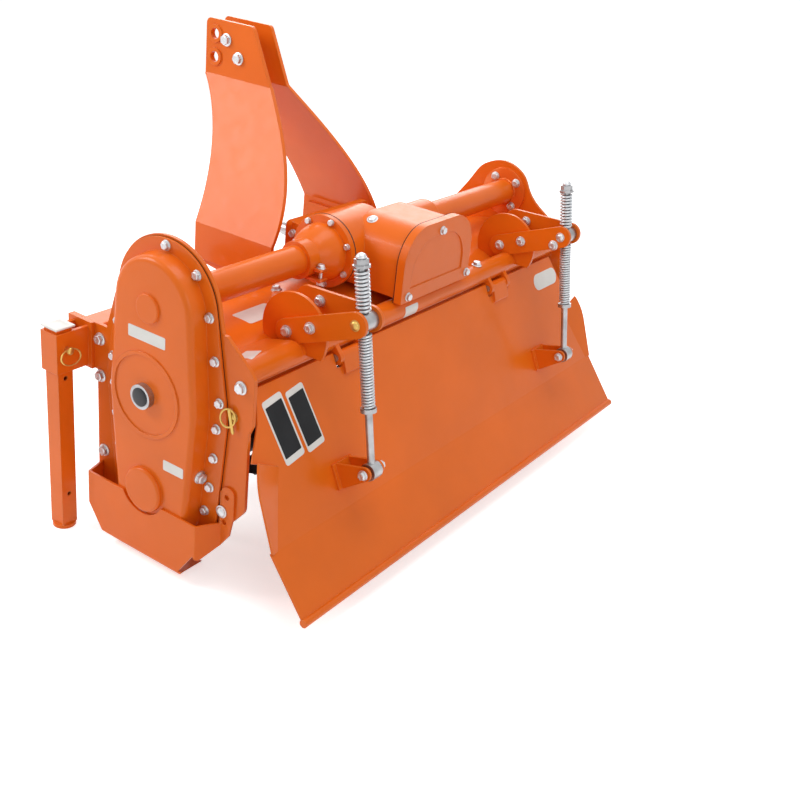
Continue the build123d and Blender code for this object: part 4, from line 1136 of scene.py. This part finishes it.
# Blank labels, the two on the hood partly a painted reflection on its sheet: name, middle, look, up, width,
# height, the node that carries it and its body
BOARD_BACK = Vector((0, -0.902, 0.433))
BOARD_UP = Vector((-0.14, 0.43, 0.9))
LABELS = (
    ("cover_label_upper", (COVER_FACE_X, -4, 524), (-1, 0, 0), (0, 0, 1), 0.100, 0.025, None, "frame"),
    ("cover_label_lower", (COVER_FACE_X, -80, 261), (-1, 0, 0), (0, 0, 1), 0.055, 0.023, None, "frame"),
    # The two pale patches on the hood are partly blank labels and partly a painted reflection on the hood's glossy
    # sheet
    ("hood_label_and_reflection_front", (-398, -12, 492), (0, -0.04, 1), (0, 1, 0.04), 0.105, 0.055, "hood", "frame"),
    ("hood_label_and_reflection_rear", (-578, -150, 496), (0, -0.3, 0.95), (-0.3, 0.9, 0.3), 0.050, 0.030, "hood", "frame"),
    ("rail_label", (-73, -193, 468), (0, -0.98, 0.2), (0, 0.2, 0.98), 0.050, 0.026, "rear_rail", "frame"),
    ("board_label_left", (-564, -236, 360), BOARD_BACK, BOARD_UP, 0.060, 0.140, "tail_board", "tail"),
    ("board_label_right", (-496, -236, 361), BOARD_BACK, BOARD_UP, 0.056, 0.136, "tail_board", "tail"),
    ("board_label_far", (556, -217, 400), BOARD_BACK, (0, 0.43, 0.9), 0.124, 0.044, "tail_board", "tail"),
)
FIELDS = {"board_label_left": (0.051, 0.112), "board_label_right": (0.048, 0.110)}
FIELD_LIFT = 1.6
# Corner radius as a share of the shorter side
CORNER = 0.12
FIELD_CORNER = 0.05
ROUND_ENDS = {"board_label_far": 0.5}


class TILLER_OT_labels(bpy.types.Operator):
    """Blank labels, the two on the hood partly a painted reflection"""

    bl_idname = "tiller.labels"
    bl_label = "Blank labels"

    def execute(self, context):
        lift = context.scene.tiller_sizes.label_lift
        for name, place, look, up, width, height, on, body in LABELS:
            corner = ROUND_ENDS.get(name, CORNER)
            film = model_label(name, spot(*place), Vector(look), Vector(up), width, height, lift, corner, on)
            finish_piece(film, body, "blank_label")
        lift *= FIELD_LIFT
        for name, place, look, up, _, _, on, body in LABELS:
            if name in FIELDS:
                width, height = FIELDS[name]
                field = model_label(
                    f"{name}_field", spot(*place), look, up, width, height, lift, FIELD_CORNER, on
                )
                finish_piece(field, body, "label_field")
        return {"FINISHED"}


# Studio


# Lamps: name, place, size in metres and power in watts
LAMPS = (
    ("key_box", (-1.95, 2.25, 2.2), (1.35, 1.35), 46),
    ("back_box", (2.2, 1.8, 1.9), (3.0, 2.0), 48),
    ("fill_box", (-1.5, -3.2, 1.8), (2.4, 1.6), 18),
    ("top_box", (0.0, -0.4, 3.4), (2.6, 1.6), 40),
)
LAMP_TARGET = Vector((0, 0, 0.45))
FLOOR_SIZE = 80
FLOOR_TONE = (0.92, 0.92, 0.92, 1)
FLOOR_ROUGHNESS = 0.9
FLOOR_GLOW = 0.57
WORLD_LIGHT = 0.45
WHITE = (1, 1, 1, 1)
SENSOR = 36.0


def area_lamp(name, place, size, energy):
    """A soft box that looks at the machine."""
    data = bpy.data.lights.new(name, "AREA")
    data.shape = "RECTANGLE"
    data.size = size[0]
    data.size_y = size[1]
    data.energy = energy
    lamp = bpy.data.objects.new(name, data)
    bpy.context.scene.collection.objects.link(lamp)
    turn = (LAMP_TARGET - place).to_track_quat("-Z", "Y").to_matrix().to_4x4()
    lamp.matrix_world = Matrix.Translation(place) @ turn


def seen_ray(tree):
    """A value of 1 for rays that show a background: from the camera, by a reflection or through glass."""
    path = tree.nodes.new("ShaderNodeLightPath")
    total = tree.nodes.new("ShaderNodeMath")
    total.operation = "MAXIMUM"
    tree.links.new(path.outputs["Is Camera Ray"], total.inputs[0])
    tree.links.new(path.outputs["Is Glossy Ray"], total.inputs[1])
    both = tree.nodes.new("ShaderNodeMath")
    both.operation = "MAXIMUM"
    tree.links.new(total.outputs["Value"], both.inputs[0])
    tree.links.new(path.outputs["Is Transmission Ray"], both.inputs[1])
    return both.outputs["Value"]


def lay_floor():
    """A wide pale floor that shows white to the camera and keeps the machine's shadow."""
    start_clean()
    bpy.ops.mesh.primitive_plane_add(size=1)
    floor = bpy.context.object
    floor.name = "studio_floor"
    floor.matrix_world = Matrix.Diagonal((FLOOR_SIZE, FLOOR_SIZE, 1, 1))
    bpy.ops.object.transform_apply(location=True, rotation=True, scale=True)
    pale = bpy.data.materials.new("studio_floor")
    pale.use_nodes = True
    tree = pale.node_tree
    shader = tree.nodes["Principled BSDF"]
    shader.inputs["Base Color"].default_value = FLOOR_TONE
    shader.inputs["Roughness"].default_value = FLOOR_ROUGHNESS
    shader.inputs["Emission Color"].default_value = WHITE
    glow = spread_node(tree, seen_ray(tree), 0.0, FLOOR_GLOW, start=0.0, stop=1.0)
    tree.links.new(glow.outputs["Result"], shader.inputs["Emission Strength"])
    floor.data.materials.append(pale)


def light_world(scene):
    """A plain world that is white to the camera and softer as a light."""
    world = bpy.data.worlds.new("studio_world")
    scene.world = world
    world.use_nodes = True
    tree = world.node_tree
    strength = spread_node(tree, seen_ray(tree), WORLD_LIGHT, 1.0, start=0.0, stop=1.0)
    back = tree.nodes["Background"]
    back.inputs["Color"].default_value = WHITE
    tree.links.new(strength.outputs["Result"], back.inputs["Strength"])


def aim_camera(scene):
    """The camera of the photograph, turned by its yaw, pitch and roll."""
    studio = scene.tiller_studio
    lens = bpy.data.cameras.new("photo_camera")
    lens.sensor_width = SENSOR
    lens.sensor_fit = "HORIZONTAL"
    lens.lens = studio.lens
    camera = bpy.data.objects.new("photo_camera", lens)
    scene.collection.objects.link(camera)
    level = math.cos(studio.pitch)
    ahead = Vector((math.sin(studio.yaw) * level, math.cos(studio.yaw) * level, math.sin(studio.pitch)))
    right = Vector((math.cos(studio.yaw), -math.sin(studio.yaw), 0))
    up = right.cross(ahead)
    rolled_right = right * math.cos(studio.roll) + up * math.sin(studio.roll)
    rolled_up = up * math.cos(studio.roll) - right * math.sin(studio.roll)
    turn = Matrix((rolled_right, rolled_up, -ahead)).transposed().to_4x4()
    place = Vector((datum.x, datum.y, 0)) + Vector(studio.place)
    camera.matrix_world = Matrix.Translation(place) @ turn
    scene.camera = camera


class TILLER_OT_studio(bpy.types.Operator):
    """Floor, light and the camera of the photograph"""

    bl_idname = "tiller.studio"
    bl_label = "Studio"

    def execute(self, context):
        lay_floor()
        light_world(context.scene)
        for name, place, size, energy in LAMPS:
            area_lamp(name, Vector(place), size, energy)
        aim_camera(context.scene)
        context.scene.view_settings.view_transform = "Standard"
        return {"FINISHED"}


class TILLER_PT_dressing(bpy.types.Panel):
    """Steps of the dressing, in order"""

    bl_idname = "TILLER_PT_dressing"
    bl_label = "Rotary tiller"
    bl_space_type = "VIEW_3D"
    bl_region_type = "UI"
    bl_category = "Tiller"

    def draw(self, context):
        for step in STEPS:
            self.layout.operator(step.bl_idname)


STEPS = (
    TILLER_OT_finishes,
    TILLER_OT_case_bolts,
    TILLER_OT_gearbox_bolts,
    TILLER_OT_mast_bolts,
    TILLER_OT_plugs_and_pins,
    TILLER_OT_welds,
    TILLER_OT_shade_strip_and_cap,
    TILLER_OT_springs,
    TILLER_OT_labels,
    TILLER_OT_studio,
)
GROUPS = {"tiller_paint": TillerPaint, "tiller_sizes": TillerSizes, "tiller_studio": TillerStudio}


def register():
    """Register the classes and hang the settings on the scene."""
    for made in (*GROUPS.values(), *STEPS, TILLER_PT_dressing):
        bpy.utils.register_class(made)
    for name, kind in GROUPS.items():
        setattr(bpy.types.Scene, name, PointerProperty(type=kind))


def unregister():
    """Take the settings and the classes away again."""
    for name in GROUPS:
        delattr(bpy.types.Scene, name)
    for made in (TILLER_PT_dressing, *reversed(STEPS), *GROUPS.values()):
        bpy.utils.unregister_class(made)


def main():
    """Run every step in order."""
    register()
    bpy.ops.tiller.finishes()
    bpy.ops.tiller.case_bolts()
    bpy.ops.tiller.gearbox_bolts()
    bpy.ops.tiller.mast_bolts()
    bpy.ops.tiller.plugs_and_pins()
    bpy.ops.tiller.welds()
    bpy.ops.tiller.lip_and_cap()
    bpy.ops.tiller.springs()
    bpy.ops.tiller.labels()
    bpy.ops.tiller.studio()


if __name__ == "__main__":
    main()
